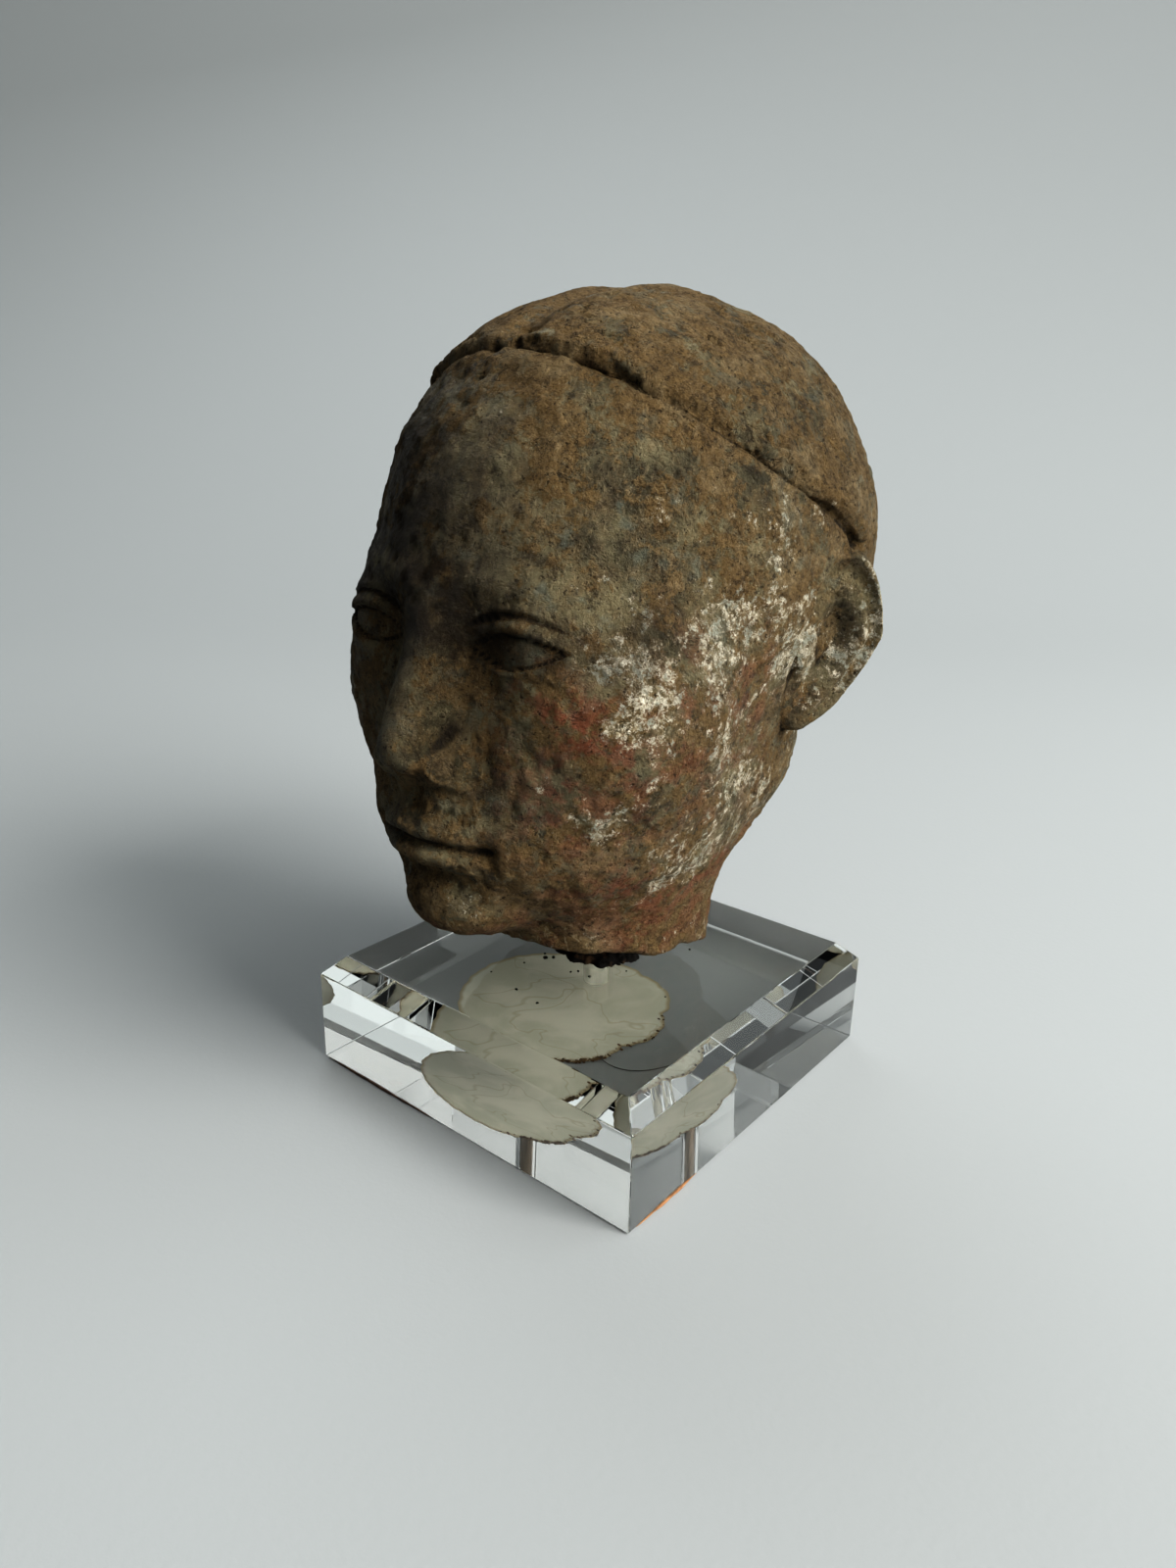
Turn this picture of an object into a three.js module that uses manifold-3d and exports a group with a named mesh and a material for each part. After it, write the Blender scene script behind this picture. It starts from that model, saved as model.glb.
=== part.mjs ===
// A pottery head with parted hair, broken at the neck, held by a metal rod above a clear block.
// Millimetres, +Z up. The head faces -Y and the origin is the middle of the block's underside.
import * as THREE from "three";
import { mergeVertices } from "three/addons/utils/BufferGeometryUtils.js";
import Module from "manifold-3d";

const wasm = await Module();
wasm.setup();

// Clear block, a square with a bevel round the top face.
const blockSide = 76;
const blockHeight = 22;
const blockBevel = 3.7;

// Rod, in a blind hole from the top of the block and in a socket in the neck.
const rodDiameter = 4.8;
const rodEndChamfer = 0.5;
const rodDepthInBlock = 16;
const rodReachInHead = 40;
const rodSides = 24;
const fitGap = 0.3;

// Dark wad that lies round the rod on the block.
const wadWidth = 18;
const wadHeight = 2.6;
const wadLumps = 7;

// Head, from the underside of the chin to the crown, and its place over the block.
const headHeight = 101;
const chinHeight = 40;
const headForward = 3;
const headTurn = 0;
const headNod = 0;
const headLean = 0;

// Levels of the head, in shares of its height above the chin.
const level = {
  neckBreak: -0.088,
  chinFold: 0.128,
  mouth: 0.19,
  napeLine: 0.25,
  noseBase: 0.286,
  earMiddle: 0.462,
  lowerLid: 0.462,
  eye: 0.5,
  upperLid: 0.538,
  brow: 0.592,
  skullCentre: 0.62,
  hairline: 0.835,
};

// Masses of the head, in shares of its height: middle and radii, measured from its upright axis.
const skull = { middle: [0, 0.099, 0.607], radii: [0.382, 0.47, 0.388] };
const nape = { middle: [0, 0.1, 0.27], radii: [0.295, 0.372, 0.29] };
const face = { middle: [0, -0.085, 0.37], radii: [0.318, 0.312, 0.37] };
const jaw = { middle: [0, -0.1, 0.19], radii: [0.262, 0.3, 0.185] };
const cheek = { middle: [0.195, -0.19, 0.385], radii: [0.13, 0.13, 0.13] };
const muzzle = { middle: [0, -0.262, 0.205], radii: [0.155, 0.13, 0.115] };
const chin = { middle: [0, -0.318, 0.068], radii: [0.095, 0.085, 0.066] };
const temple = { middle: [0.43, -0.26, 0.62], radii: [0.08, 0.17, 0.13] };
const neck = { middleDepth: -0.005, halfWidth: 0.228, halfDepth: 0.24, spread: 0.2, breakSlope: 0.16 };

// Features, in shares of the head's height.
const eye = { across: 0.148, halfWidth: 0.078, halfOpening: 0.025, ballDepth: -0.281, ballRadius: 0.088, lid: 0.009 };
const socket = { middle: [0.15, -0.43, 0.498], radii: [0.104, 0.063, 0.053] };
const nose = { bridge: [0, -0.338, 0.55, 0.045], tip: [0, -0.434, 0.345, 0.046], wing: [0.05, -0.405, 0.32] };
const lips = { halfWidth: 0.102, upperFullness: 0.018, lowerFullness: 0.021, crease: 0.014 };
const hair = { thickness: 0.019, fall: 0.29, grooveDepth: 0.007, partingDepth: 0.012, partingWidth: 0.03 };
const ear = { across: 0.372, depth: 0.175, halfHeight: 0.16, halfWidth: 0.09, flare: 26, tuck: 0.04, rim: 0.018, bowl: 0.026 };

// Rows of the head's skin between the levels, and columns between bearings from the front.
const rowBands = [
  [level.neckBreak, 0, 3],
  [0, level.chinFold, 4],
  [level.chinFold, level.mouth, 4],
  [level.mouth, level.noseBase, 5],
  [level.noseBase, level.lowerLid, 7],
  [level.lowerLid, level.upperLid, 6],
  [level.upperLid, level.brow, 3],
  [level.brow, level.hairline, 6],
];
const capRows = 10;
const earBearing = 108;
const columnBands = [
  [0, 12, 5],
  [12, 44, 12],
  [44, 74, 6],
  [74, 180, 14],
];

const radians = THREE.MathUtils.degToRad;
const clamp = THREE.MathUtils.clamp;
const lerp = THREE.MathUtils.lerp;
const smoothstep = THREE.MathUtils.smoothstep;

/** A soft bump of height 1 at the centre. */
function bump(value, centre, width) {
  return Math.exp(-(((value - centre) / width) ** 2));
}

/** The smaller of two distances, with a fillet of size k. */
function blend(a, b, k) {
  const overlap = Math.max(k - Math.abs(a - b), 0) / k;
  return Math.min(a, b) - (overlap * overlap * k) / 4;
}

/** The distance a with b cut away, with a fillet of size k. */
function carve(a, b, k) {
  return -blend(-a, b, k);
}

/** Distance to an ellipsoid, close to its surface. */
function ellipsoid(x, y, z, { middle, radii }) {
  const a = (x - middle[0]) / radii[0];
  const b = (y - middle[1]) / radii[1];
  const c = (z - middle[2]) / radii[2];
  const reach = Math.hypot(a, b, c);
  const slope = Math.hypot(a / radii[0], b / radii[1], c / radii[2]);
  return slope > 0 ? (reach * (reach - 1)) / slope : -Math.min(...radii);
}

/** Distance to a round limb between two balls, each given as x, y, z, radius. */
function limb(x, y, z, from, to) {
  const along = [to[0] - from[0], to[1] - from[1], to[2] - from[2]];
  const offset = [x - from[0], y - from[1], z - from[2]];
  const dot = offset[0] * along[0] + offset[1] * along[1] + offset[2] * along[2];
  const share = clamp(dot / (along[0] ** 2 + along[1] ** 2 + along[2] ** 2), 0, 1);
  const gap = Math.hypot(offset[0] - share * along[0], offset[1] - share * along[1], offset[2] - share * along[2]);
  return gap - lerp(from[3], to[3], share);
}

/** Level where the hair's edge falls from the forehead to the ears, and that row behind them. */
function templeLineAt(bearing) {
  const side = Math.min(Math.abs(bearing), radians(earBearing));
  return level.hairline - hair.fall * Math.sin(side / 2) ** 2;
}

/** 0 in front of the ears to 1 behind them, where the hair's edge is low and soft. */
function behindEars(bearing) {
  return smoothstep(Math.abs(bearing), radians(earBearing), radians(earBearing + 38));
}

/** Bearing and level of a point, as the rows and columns of the skin count them. */
function skinPlace(x, y, z) {
  const out = Math.hypot(x, y - 0.03);
  const climb = Math.atan2(z - level.skullCentre, out) / (Math.PI / 2);
  const height = z < level.skullCentre ? z : level.skullCentre + (1 - level.skullCentre) * climb;
  return { bearing: Math.atan2(x, 0.03 - y), height };
}

/** Distance to the skull, face and neck without eyes, nose and mouth. */
function massField(x, y, z) {
  let d = ellipsoid(x, y, z, skull);
  d = blend(d, ellipsoid(x, y, z, face), 0.1);
  d = blend(d, ellipsoid(x, y, z, jaw), 0.1);
  d = blend(d, ellipsoid(x, y, z, nape), 0.08);
  const widen = 1 + neck.spread * (z - level.neckBreak);
  const out = Math.hypot(x / neck.halfWidth, (y - neck.middleDepth) / neck.halfDepth) / widen;
  d = blend(d, Math.max((out - 1) * neck.halfWidth, z - 0.4), 0.07);
  d = blend(d, ellipsoid(x, y, z, cheek), 0.12);
  return carve(d, ellipsoid(x, y, z, temple), 0.12);
}

/** Distance with the eyes: hollow, ball and two lids with an almond opening. */
function addEyes(d, x, y, z) {
  d = carve(d, ellipsoid(x, y, z, socket), 0.05);
  const across = (x - eye.across) / eye.halfWidth;
  const ball = Math.hypot(x - eye.across, y - eye.ballDepth, z - level.eye) - eye.ballRadius;
  const opening = eye.halfOpening * (1 - across * across);
  const lidGap = Math.abs(z - level.eye - 0.004 * across) - opening;
  const lid = eye.lid * smoothstep(lidGap, -0.004, 0.006);
  return blend(d, ball - lid, 0.025);
}

/** Distance with the nose, its wings and nostrils. */
function addNose(d, x, y, z) {
  let shape = limb(x, y, z, nose.bridge, nose.tip);
  shape = blend(shape, ellipsoid(x, y, z, { middle: nose.wing, radii: [0.034, 0.045, 0.03] }), 0.025);
  d = blend(d, shape, 0.05);
  return carve(d, ellipsoid(x, y, z, { middle: [0.029, -0.45, 0.287], radii: [0.015, 0.024, 0.014] }), 0.012);
}

/** Distance with the brows, lips and folds raised or sunk into the face. */
function addFolds(d, x, y, z) {
  const front = smoothstep(-y, 0.2, 0.3);
  const browLevel = level.brow - 0.014 + 0.022 * bump(x, 0.165, 0.1);
  const brow = 0.009 * bump(z, browLevel, 0.026) * smoothstep(x, -0.02, 0.12) * (1 - smoothstep(x, 0.2, 0.3));
  const reach = x / lips.halfWidth;
  const width = Math.max(1 - reach * reach, 0);
  const line = level.mouth + 0.004 * bump(x, 0.03, 0.03) - 0.003 * reach;
  const upper = lips.upperFullness * bump(z, line + 0.02, 0.019) * width;
  const lower = lips.lowerFullness * bump(z, line - 0.023, 0.021) * width;
  const crease = lips.crease * bump(z, line, 0.008) * smoothstep(1.25 - reach, 0, 0.3);
  const philtrum = 0.006 * bump(x, 0, 0.014) * bump(z, 0.25, 0.024);
  const corner = 0.008 * bump(x, lips.halfWidth + 0.012, 0.018) * bump(z, level.mouth, 0.02);
  const chinFold = 0.013 * bump(z, level.chinFold, 0.02) * bump(x, 0, 0.085);
  return d + front * (crease + philtrum + corner + chinFold - brow - upper - lower);
}

/** Distance with the raised hair, the groove along its edge and the parting. */
function addHair(d, x, y, z) {
  const place = skinPlace(x, y, z);
  const behind = behindEars(place.bearing);
  const above = place.height - lerp(templeLineAt(place.bearing), level.napeLine, behind);
  const cap = hair.thickness * smoothstep(above, -0.004, lerp(0.012, 0.08, behind));
  const groove = hair.grooveDepth * bump(above, -0.004, 0.008) * (1 - behind);
  const onTop = smoothstep(z, 0.5, 0.75) * smoothstep(above, -0.01, 0.02);
  return d - cap + groove + hair.partingDepth * bump(x, 0, hair.partingWidth) * onTop;
}

/** Distance to the whole head without its ears, in shares of its height. */
function headField(x, y, z) {
  const side = Math.abs(x);
  let d = massField(side, y, z);
  d = blend(d, ellipsoid(side, y, z, muzzle), 0.07);
  d = blend(d, ellipsoid(side, y, z, chin), 0.06);
  d = addEyes(d, side, y, z);
  d = addNose(d, side, y, z);
  d = addFolds(d, side, y, z);
  return addHair(d, side, y, z);
}

/** The point where a ray of the skin meets the head. */
function skinPoint(bearing, height) {
  const rise = Math.max(height - level.skullCentre, 0) / (1 - level.skullCentre);
  const dip = radians(-30) * Math.sin(Math.PI * clamp((0.18 - height) / 0.26, 0, 1));
  const pitch = rise > 0 ? (rise * Math.PI) / 2 : dip;
  const start = rise > 0 ? level.skullCentre : height - 0.3 * Math.tan(pitch);
  const at = (reach) => [
    Math.sin(bearing) * reach * Math.cos(pitch),
    0.03 - Math.cos(bearing) * reach * Math.cos(pitch),
    start + reach * Math.sin(pitch),
  ];
  const step = 0.006;
  let outer = 0.7;
  while (outer > step && headField(...at(outer - step)) > 0) {
    outer -= step;
  }
  let inner = outer - step;
  for (let round = 0; round < 16; round += 1) {
    const middle = (inner + outer) / 2;
    if (headField(...at(middle)) > 0) {
      outer = middle;
    } else {
      inner = middle;
    }
  }
  return at(inner);
}

/** Evenly divided values over bands of start, end and count, without the last end. */
function divide(bands) {
  return bands.flatMap(([from, to, count]) => Array.from({ length: count }, (_, i) => lerp(from, to, i / count)));
}

/** Rough height of the broken neck, at a bearing and at a share of the way out. */
function breakAt(bearing, share) {
  const fall = neck.breakSlope * neck.halfDepth * share * Math.cos(bearing);
  const edge = 0.006 * Math.sin(2 * bearing + 0.8) + 0.005 * Math.sin(5 * bearing + 0.4);
  return level.neckBreak + fall + share * edge + (1 - share) * 0.02 + 0.004 * Math.sin(9 * bearing + 7 * share);
}

/** Closed mesh from rings of points, with a fan at each end. */
function shell(rings, first, last) {
  const columns = rings[0].length;
  const points = [...rings.flat(), first, last].flat();
  const top = rings.length * columns;
  const faces = [];
  for (let column = 0; column < columns; column += 1) {
    const next = (column + 1) % columns;
    for (let row = 0; row < rings.length - 1; row += 1) {
      const a = row * columns;
      const b = a + columns;
      faces.push(a + column, a + next, b + next, a + column, b + next, b + column);
    }
    const end = (rings.length - 1) * columns;
    faces.push(next, column, top, end + column, end + next, top + 1);
  }
  const geometry = new THREE.BufferGeometry();
  geometry.setAttribute("position", new THREE.Float32BufferAttribute(points, 3));
  geometry.setIndex(faces);
  return geometry;
}

/** The head's skin from the broken neck to the crown, in shares of its height. */
function headSkin() {
  const half = divide(columnBands).map(radians);
  const bearings = [...half, Math.PI, ...half.slice(1).reverse().map((bearing) => -bearing)];
  const ringAt = (heightAt) => bearings.map((bearing) => skinPoint(bearing, heightAt(bearing)));
  const knee = level.upperLid;
  const rings = divide(rowBands).map((height) =>
    ringAt((bearing) => {
      const low = breakAt(bearing, 1);
      if (height < 0) {
        return lerp(low, 0, 1 - height / level.neckBreak);
      }
      if (height < knee) {
        return height;
      }
      return lerp(knee, templeLineAt(bearing) - 0.014, (height - knee) / (level.hairline - knee));
    }),
  );
  rings.push(ringAt((bearing) => templeLineAt(bearing) - 0.014));
  rings.push(ringAt((bearing) => templeLineAt(bearing) - 0.004));
  for (let row = 0; row < capRows; row += 1) {
    rings.push(ringAt((bearing) => lerp(templeLineAt(bearing) + 0.012, 1, row / capRows)));
  }
  const underside = [0.35, 0.7].map((share) =>
    rings[0].map(([x, y], column) => [
      x * share,
      lerp(neck.middleDepth, y, share),
      breakAt(bearings[column], share),
    ]),
  );
  const middle = [0, neck.middleDepth, level.neckBreak + 0.02];
  return shell([...underside, ...rings], middle, skinPoint(0, 1));
}

/** One ear on the side of +X, in shares of the head's height. */
function earSolid(side) {
  const segments = 22;
  const flare = radians(ear.flare);
  const outline = (turn, share) => {
    const drop = Math.max(-Math.sin(turn), 0);
    const back = ear.halfWidth * share * Math.cos(turn) * (1 - 0.25 * drop) - 0.022 * drop * share;
    return [back, ear.halfHeight * share * Math.sin(turn)];
  };
  const relief = (turn, share) => {
    const toBack = Math.cos(turn);
    const rim = ear.rim * bump(share, 0.92, 0.11) * smoothstep(toBack + 0.9 * Math.sin(turn), -0.75, 0.1);
    const fold = 0.6 * ear.rim * bump(share, 0.6, 0.11) * smoothstep(toBack, -0.35, 0.3);
    const bowl = ear.bowl * (1 - smoothstep(share, 0.18, 0.5));
    const tragus = 0.018 * bump(share, 0.72, 0.16) * bump(turn, radians(188), 0.38);
    const lobe = 0.01 * bump(turn, radians(270), 0.5) * bump(share, 0.8, 0.3);
    return rim + fold + tragus + lobe - bowl;
  };
  const place = (back, up, out) => {
    const tuck = (ear.tuck * Math.max(-up, 0)) / ear.halfHeight;
    return [
      side * (ear.across + back * Math.sin(flare) + out * Math.cos(flare) - tuck),
      ear.depth + back * Math.cos(flare) - out * Math.sin(flare),
      level.earMiddle + up + 0.08 * back,
    ];
  };
  const turns = Array.from({ length: segments }, (_, i) => side * ((i / segments) * 2 * Math.PI));
  const ringAt = (share, depth) => turns.map((turn) => place(...outline(turn, share), depth(turn)));
  const front = [0.22, 0.42, 0.6, 0.76, 0.9, 1].map((share) =>
    ringAt(share, (turn) => relief((turn + 2 * Math.PI) % (2 * Math.PI), share)),
  );
  const rings = [ringAt(0.8, () => -0.1), ringAt(1.02, () => -0.02), ...front.reverse()];
  return shell(rings, place(0, 0, -0.1), place(0, 0, -ear.bowl));
}

/** A solid for the cuts and joins, from a closed geometry. */
function toSolid(geometry) {
  const clean = geometry.clone();
  clean.deleteAttribute("normal");
  clean.deleteAttribute("uv");
  const welded = mergeVertices(clean, 1e-4);
  return new wasm.Manifold(
    new wasm.Mesh({
      numProp: 3,
      vertProperties: new Float32Array(welded.attributes.position.array),
      triVerts: new Uint32Array(welded.index.array),
    }),
  );
}

/** A geometry from a solid. */
function toGeometry(solid) {
  const mesh = solid.getMesh();
  const geometry = new THREE.BufferGeometry();
  geometry.setAttribute("position", new THREE.Float32BufferAttribute(mesh.vertProperties, 3));
  geometry.setIndex(Array.from(mesh.triVerts));
  geometry.computeVertexNormals();
  return geometry;
}

/** An upright round bar between two heights, with chamfered ends. */
function bar(diameter, bottom, top, chamfer, sides) {
  const radius = diameter / 2;
  const profile = [
    [0, bottom],
    [radius - chamfer, bottom],
    [radius, bottom + chamfer],
    [radius, top - chamfer],
    [radius - chamfer, top],
    [0, top],
  ];
  const geometry = new THREE.LatheGeometry(profile.map(([x, y]) => new THREE.Vector2(x, y)), sides);
  return geometry.rotateX(Math.PI / 2);
}

const rodBottom = blockHeight - rodDepthInBlock;
const neckHeight = chinHeight + level.neckBreak * headHeight;
const rodTop = neckHeight + rodReachInHead;

/** The head and its ears in place, with the socket for the rod. */
function potteryHead() {
  const pose = new THREE.Matrix4()
    .makeTranslation(0, -headForward, chinHeight)
    .multiply(new THREE.Matrix4().makeRotationZ(radians(headTurn)))
    .multiply(new THREE.Matrix4().makeRotationY(radians(headLean)))
    .multiply(new THREE.Matrix4().makeRotationX(radians(headNod)))
    .multiply(new THREE.Matrix4().makeScale(headHeight, headHeight, headHeight));
  let solid = toSolid(headSkin().applyMatrix4(pose));
  for (const side of [-1, 1]) {
    solid = solid.add(toSolid(earSolid(side).applyMatrix4(pose)));
  }
  const socket = bar(rodDiameter + 2 * fitGap, neckHeight - 10, rodTop + fitGap, 0.5, rodSides);
  return toGeometry(solid.subtract(toSolid(socket)));
}

/** The clear block with its bevelled top and the blind hole for the rod. */
function clearBlock() {
  const corner = blockSide / Math.SQRT2;
  const profile = [
    [0, 0],
    [corner, 0],
    [corner, blockHeight - blockBevel],
    [corner - blockBevel * Math.SQRT2, blockHeight],
    [0, blockHeight],
  ];
  const block = new THREE.LatheGeometry(profile.map(([x, y]) => new THREE.Vector2(x, y)), 4, Math.PI / 4);
  const hole = bar(rodDiameter + 2 * fitGap, rodBottom - fitGap, blockHeight + 5, 0.5, rodSides);
  return toGeometry(toSolid(block.rotateX(Math.PI / 2)).subtract(toSolid(hole)));
}

/** The dark lumpy ring round the rod. */
function darkWad() {
  const inner = rodDiameter / 2 + fitGap;
  const bottom = blockHeight + fitGap;
  const turns = 24;
  const outer = wadWidth / 2;
  const sections = Array.from({ length: turns }, (_, i) => {
    const turn = (i / turns) * 2 * Math.PI;
    const lump = 1 + 0.13 * Math.sin(wadLumps * turn) + 0.16 * Math.sin(2 * turn + 1.1);
    const reach = inner + (outer - inner) * lump * 0.8;
    const height = wadHeight * (0.8 + 0.2 * Math.sin(3 * turn + 0.5));
    return [
      [inner, bottom],
      [reach, bottom],
      [reach * 0.96, bottom + height * 0.35],
      [lerp(inner, reach, 0.6), bottom + height * 0.85],
      [lerp(inner, reach, 0.25), bottom + height],
      [inner, bottom + height * 0.9],
    ].map(([out, up]) => [out * Math.cos(turn), out * Math.sin(turn), up]);
  });
  const count = sections[0].length;
  const faces = [];
  for (let i = 0; i < turns; i += 1) {
    for (let j = 0; j < count; j += 1) {
      const a = i * count + j;
      const b = i * count + ((j + 1) % count);
      const c = ((i + 1) % turns) * count + j;
      const d = ((i + 1) % turns) * count + ((j + 1) % count);
      faces.push(a, d, b, a, c, d);
    }
  }
  const geometry = new THREE.BufferGeometry();
  geometry.setAttribute("position", new THREE.Float32BufferAttribute(sections.flat(2), 3));
  geometry.setIndex(faces);
  geometry.computeVertexNormals();
  return geometry;
}

const materials = {
  pottery: new THREE.MeshStandardMaterial({ color: 0x7d6b57, roughness: 0.95, metalness: 0 }),
  clear: new THREE.MeshStandardMaterial({ color: 0xe8f0f0, roughness: 0.05, metalness: 0, transparent: true, opacity: 0.35 }),
  rod: new THREE.MeshStandardMaterial({ color: 0x8d8378, roughness: 0.35, metalness: 1 }),
  wad: new THREE.MeshStandardMaterial({ color: 0x1d1815, roughness: 0.85, metalness: 0 }),
};

/** A named mesh. */
function piece(name, geometry, material) {
  const mesh = new THREE.Mesh(geometry, material);
  mesh.name = name;
  return mesh;
}

/** The rod between the bottom of its hole and the top of its socket. */
function mountingRod() {
  return toGeometry(toSolid(bar(rodDiameter, rodBottom, rodTop, rodEndChamfer, rodSides)));
}

const model = new THREE.Group();
model.name = "mounted_pottery_head";
model.add(
  piece("pottery_head", potteryHead(), materials.pottery),
  piece("clear_block", clearBlock(), materials.clear),
  piece("mounting_rod", mountingRod(), materials.rod),
  piece("dark_wad", darkWad(), materials.wad),
);

export default model;
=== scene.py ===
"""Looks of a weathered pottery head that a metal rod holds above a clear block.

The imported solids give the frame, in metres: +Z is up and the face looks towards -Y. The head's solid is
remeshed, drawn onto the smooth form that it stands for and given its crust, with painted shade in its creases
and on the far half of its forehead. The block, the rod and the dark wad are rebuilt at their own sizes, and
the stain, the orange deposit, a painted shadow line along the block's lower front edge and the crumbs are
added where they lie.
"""

import logging
import math
import random
from contextlib import contextmanager
from dataclasses import dataclass, field
from enum import Enum
from typing import Any, Iterator

import bpy
import numpy as np
from mathutils import Matrix, Vector, noise


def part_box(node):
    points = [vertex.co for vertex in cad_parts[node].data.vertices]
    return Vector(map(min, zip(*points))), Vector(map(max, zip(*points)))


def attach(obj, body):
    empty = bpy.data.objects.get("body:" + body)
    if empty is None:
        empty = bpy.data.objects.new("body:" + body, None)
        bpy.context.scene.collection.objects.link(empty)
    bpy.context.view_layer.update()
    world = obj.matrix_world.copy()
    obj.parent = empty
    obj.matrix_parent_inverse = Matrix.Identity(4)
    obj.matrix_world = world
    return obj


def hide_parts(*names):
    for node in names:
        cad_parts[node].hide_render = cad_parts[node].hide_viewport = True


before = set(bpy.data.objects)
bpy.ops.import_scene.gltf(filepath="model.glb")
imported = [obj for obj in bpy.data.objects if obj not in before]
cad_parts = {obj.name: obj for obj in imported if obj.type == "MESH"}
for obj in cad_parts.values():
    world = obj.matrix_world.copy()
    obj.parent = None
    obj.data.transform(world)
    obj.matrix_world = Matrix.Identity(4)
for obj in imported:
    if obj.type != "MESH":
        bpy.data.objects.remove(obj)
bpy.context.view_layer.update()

LOG = logging.getLogger("pottery_head")
MM = 0.001
FULL_TURN = 2 * math.pi

Array = np.ndarray
Colour = tuple[float, float, float, float]
Material = bpy.types.Material
Piece = bpy.types.Object
Place = tuple[Array, Array, Array]
Socket = bpy.types.NodeSocket
Triple = tuple[float, float, float]


class Body(Enum):
    """The bodies that a piece can ride on."""

    ROOT = "root"


class Slot(Enum):
    """The material slots, by name."""

    POTTERY = "pottery"
    CLEAR = "clear_plastic"
    METAL = "rod_metal"
    PUTTY = "dark_putty"


# Small maths for arrays of points


def bump(value: Array, centre: Any, width: float) -> Array:
    """Return a soft bump of height 1 at the centre."""
    return np.exp(-(((value - centre) / width) ** 2))


def smoothstep(value: Any, low: Any, high: Any) -> Array:
    """Return 0 below low, 1 above high and a smooth rise between."""
    t = np.clip((value - low) / (high - low), 0.0, 1.0)
    return t * t * (3.0 - 2.0 * t)


def mix(a: Any, b: Any, share: Any) -> Any:
    """Return the value that lies at a share of the way from a to b."""
    return a + (b - a) * share


def blend(a: Array, b: Array, k: float) -> Array:
    """Return the smaller of two distances, with a fillet of size k."""
    overlap = np.maximum(k - np.abs(a - b), 0.0) / k
    return np.minimum(a, b) - overlap * overlap * k / 4.0


def carve(a: Array, b: Array, k: float) -> Array:
    """Return the distance a with b cut away, with a fillet of size k."""
    return -blend(-a, b, k)


def noise_at(points: Array, scale: float, octaves: int, seed: float = 0.0) -> Array:
    """Return fractal noise of about -1 to 1 at each point.

    Args:
        points: Places, one row each.
        scale: How many features fit in one unit of the points.
        octaves: How many finer layers are added.
        seed: Shift that gives another pattern.

    Returns:
        One value for each point.
    """
    shift = Vector((seed, 1.7 * seed, 2.3 * seed))
    rows = points * scale
    return np.array([noise.fractal(Vector(row) + shift, 0.9, 2.1, octaves) for row in rows])


def rare(values: Array, share: float) -> Array:
    """Return 1 at the highest values, which make up about a share of all, and 0 at most others."""
    low, high = np.quantile(values, (1 - share, 1 - share / 3))
    return smoothstep(values, low, high)


@dataclass(frozen=True)
class Lump:
    """An ellipsoid mass of the head, in shares of its height, and the fillet where it meets the rest."""

    middle: Triple
    radii: Triple
    fillet: float = 0.0

    def distance(self, place: Place) -> Array:
        """Measure the distance to the lump, which is right close to its surface.

        Args:
            place: Coordinates in shares of the head's height, with X made positive.

        Returns:
            One distance for each place.
        """
        a, b, c = ((v - m) / r for v, m, r in zip(place, self.middle, self.radii))
        reach = np.sqrt(a * a + b * b + c * c)
        slope = np.sqrt(sum((v / r) ** 2 for v, r in zip((a, b, c), self.radii)))
        return reach * (reach - 1.0) / np.maximum(slope, 1e-9)

    def joined_to(self, d: Array, place: Place) -> Array:
        """Return the distance d with the lump added."""
        return blend(d, self.distance(place), self.fillet)

    def cut_from(self, d: Array, place: Place) -> Array:
        """Return the distance d with the lump cut away."""
        return carve(d, self.distance(place), self.fillet)


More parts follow.
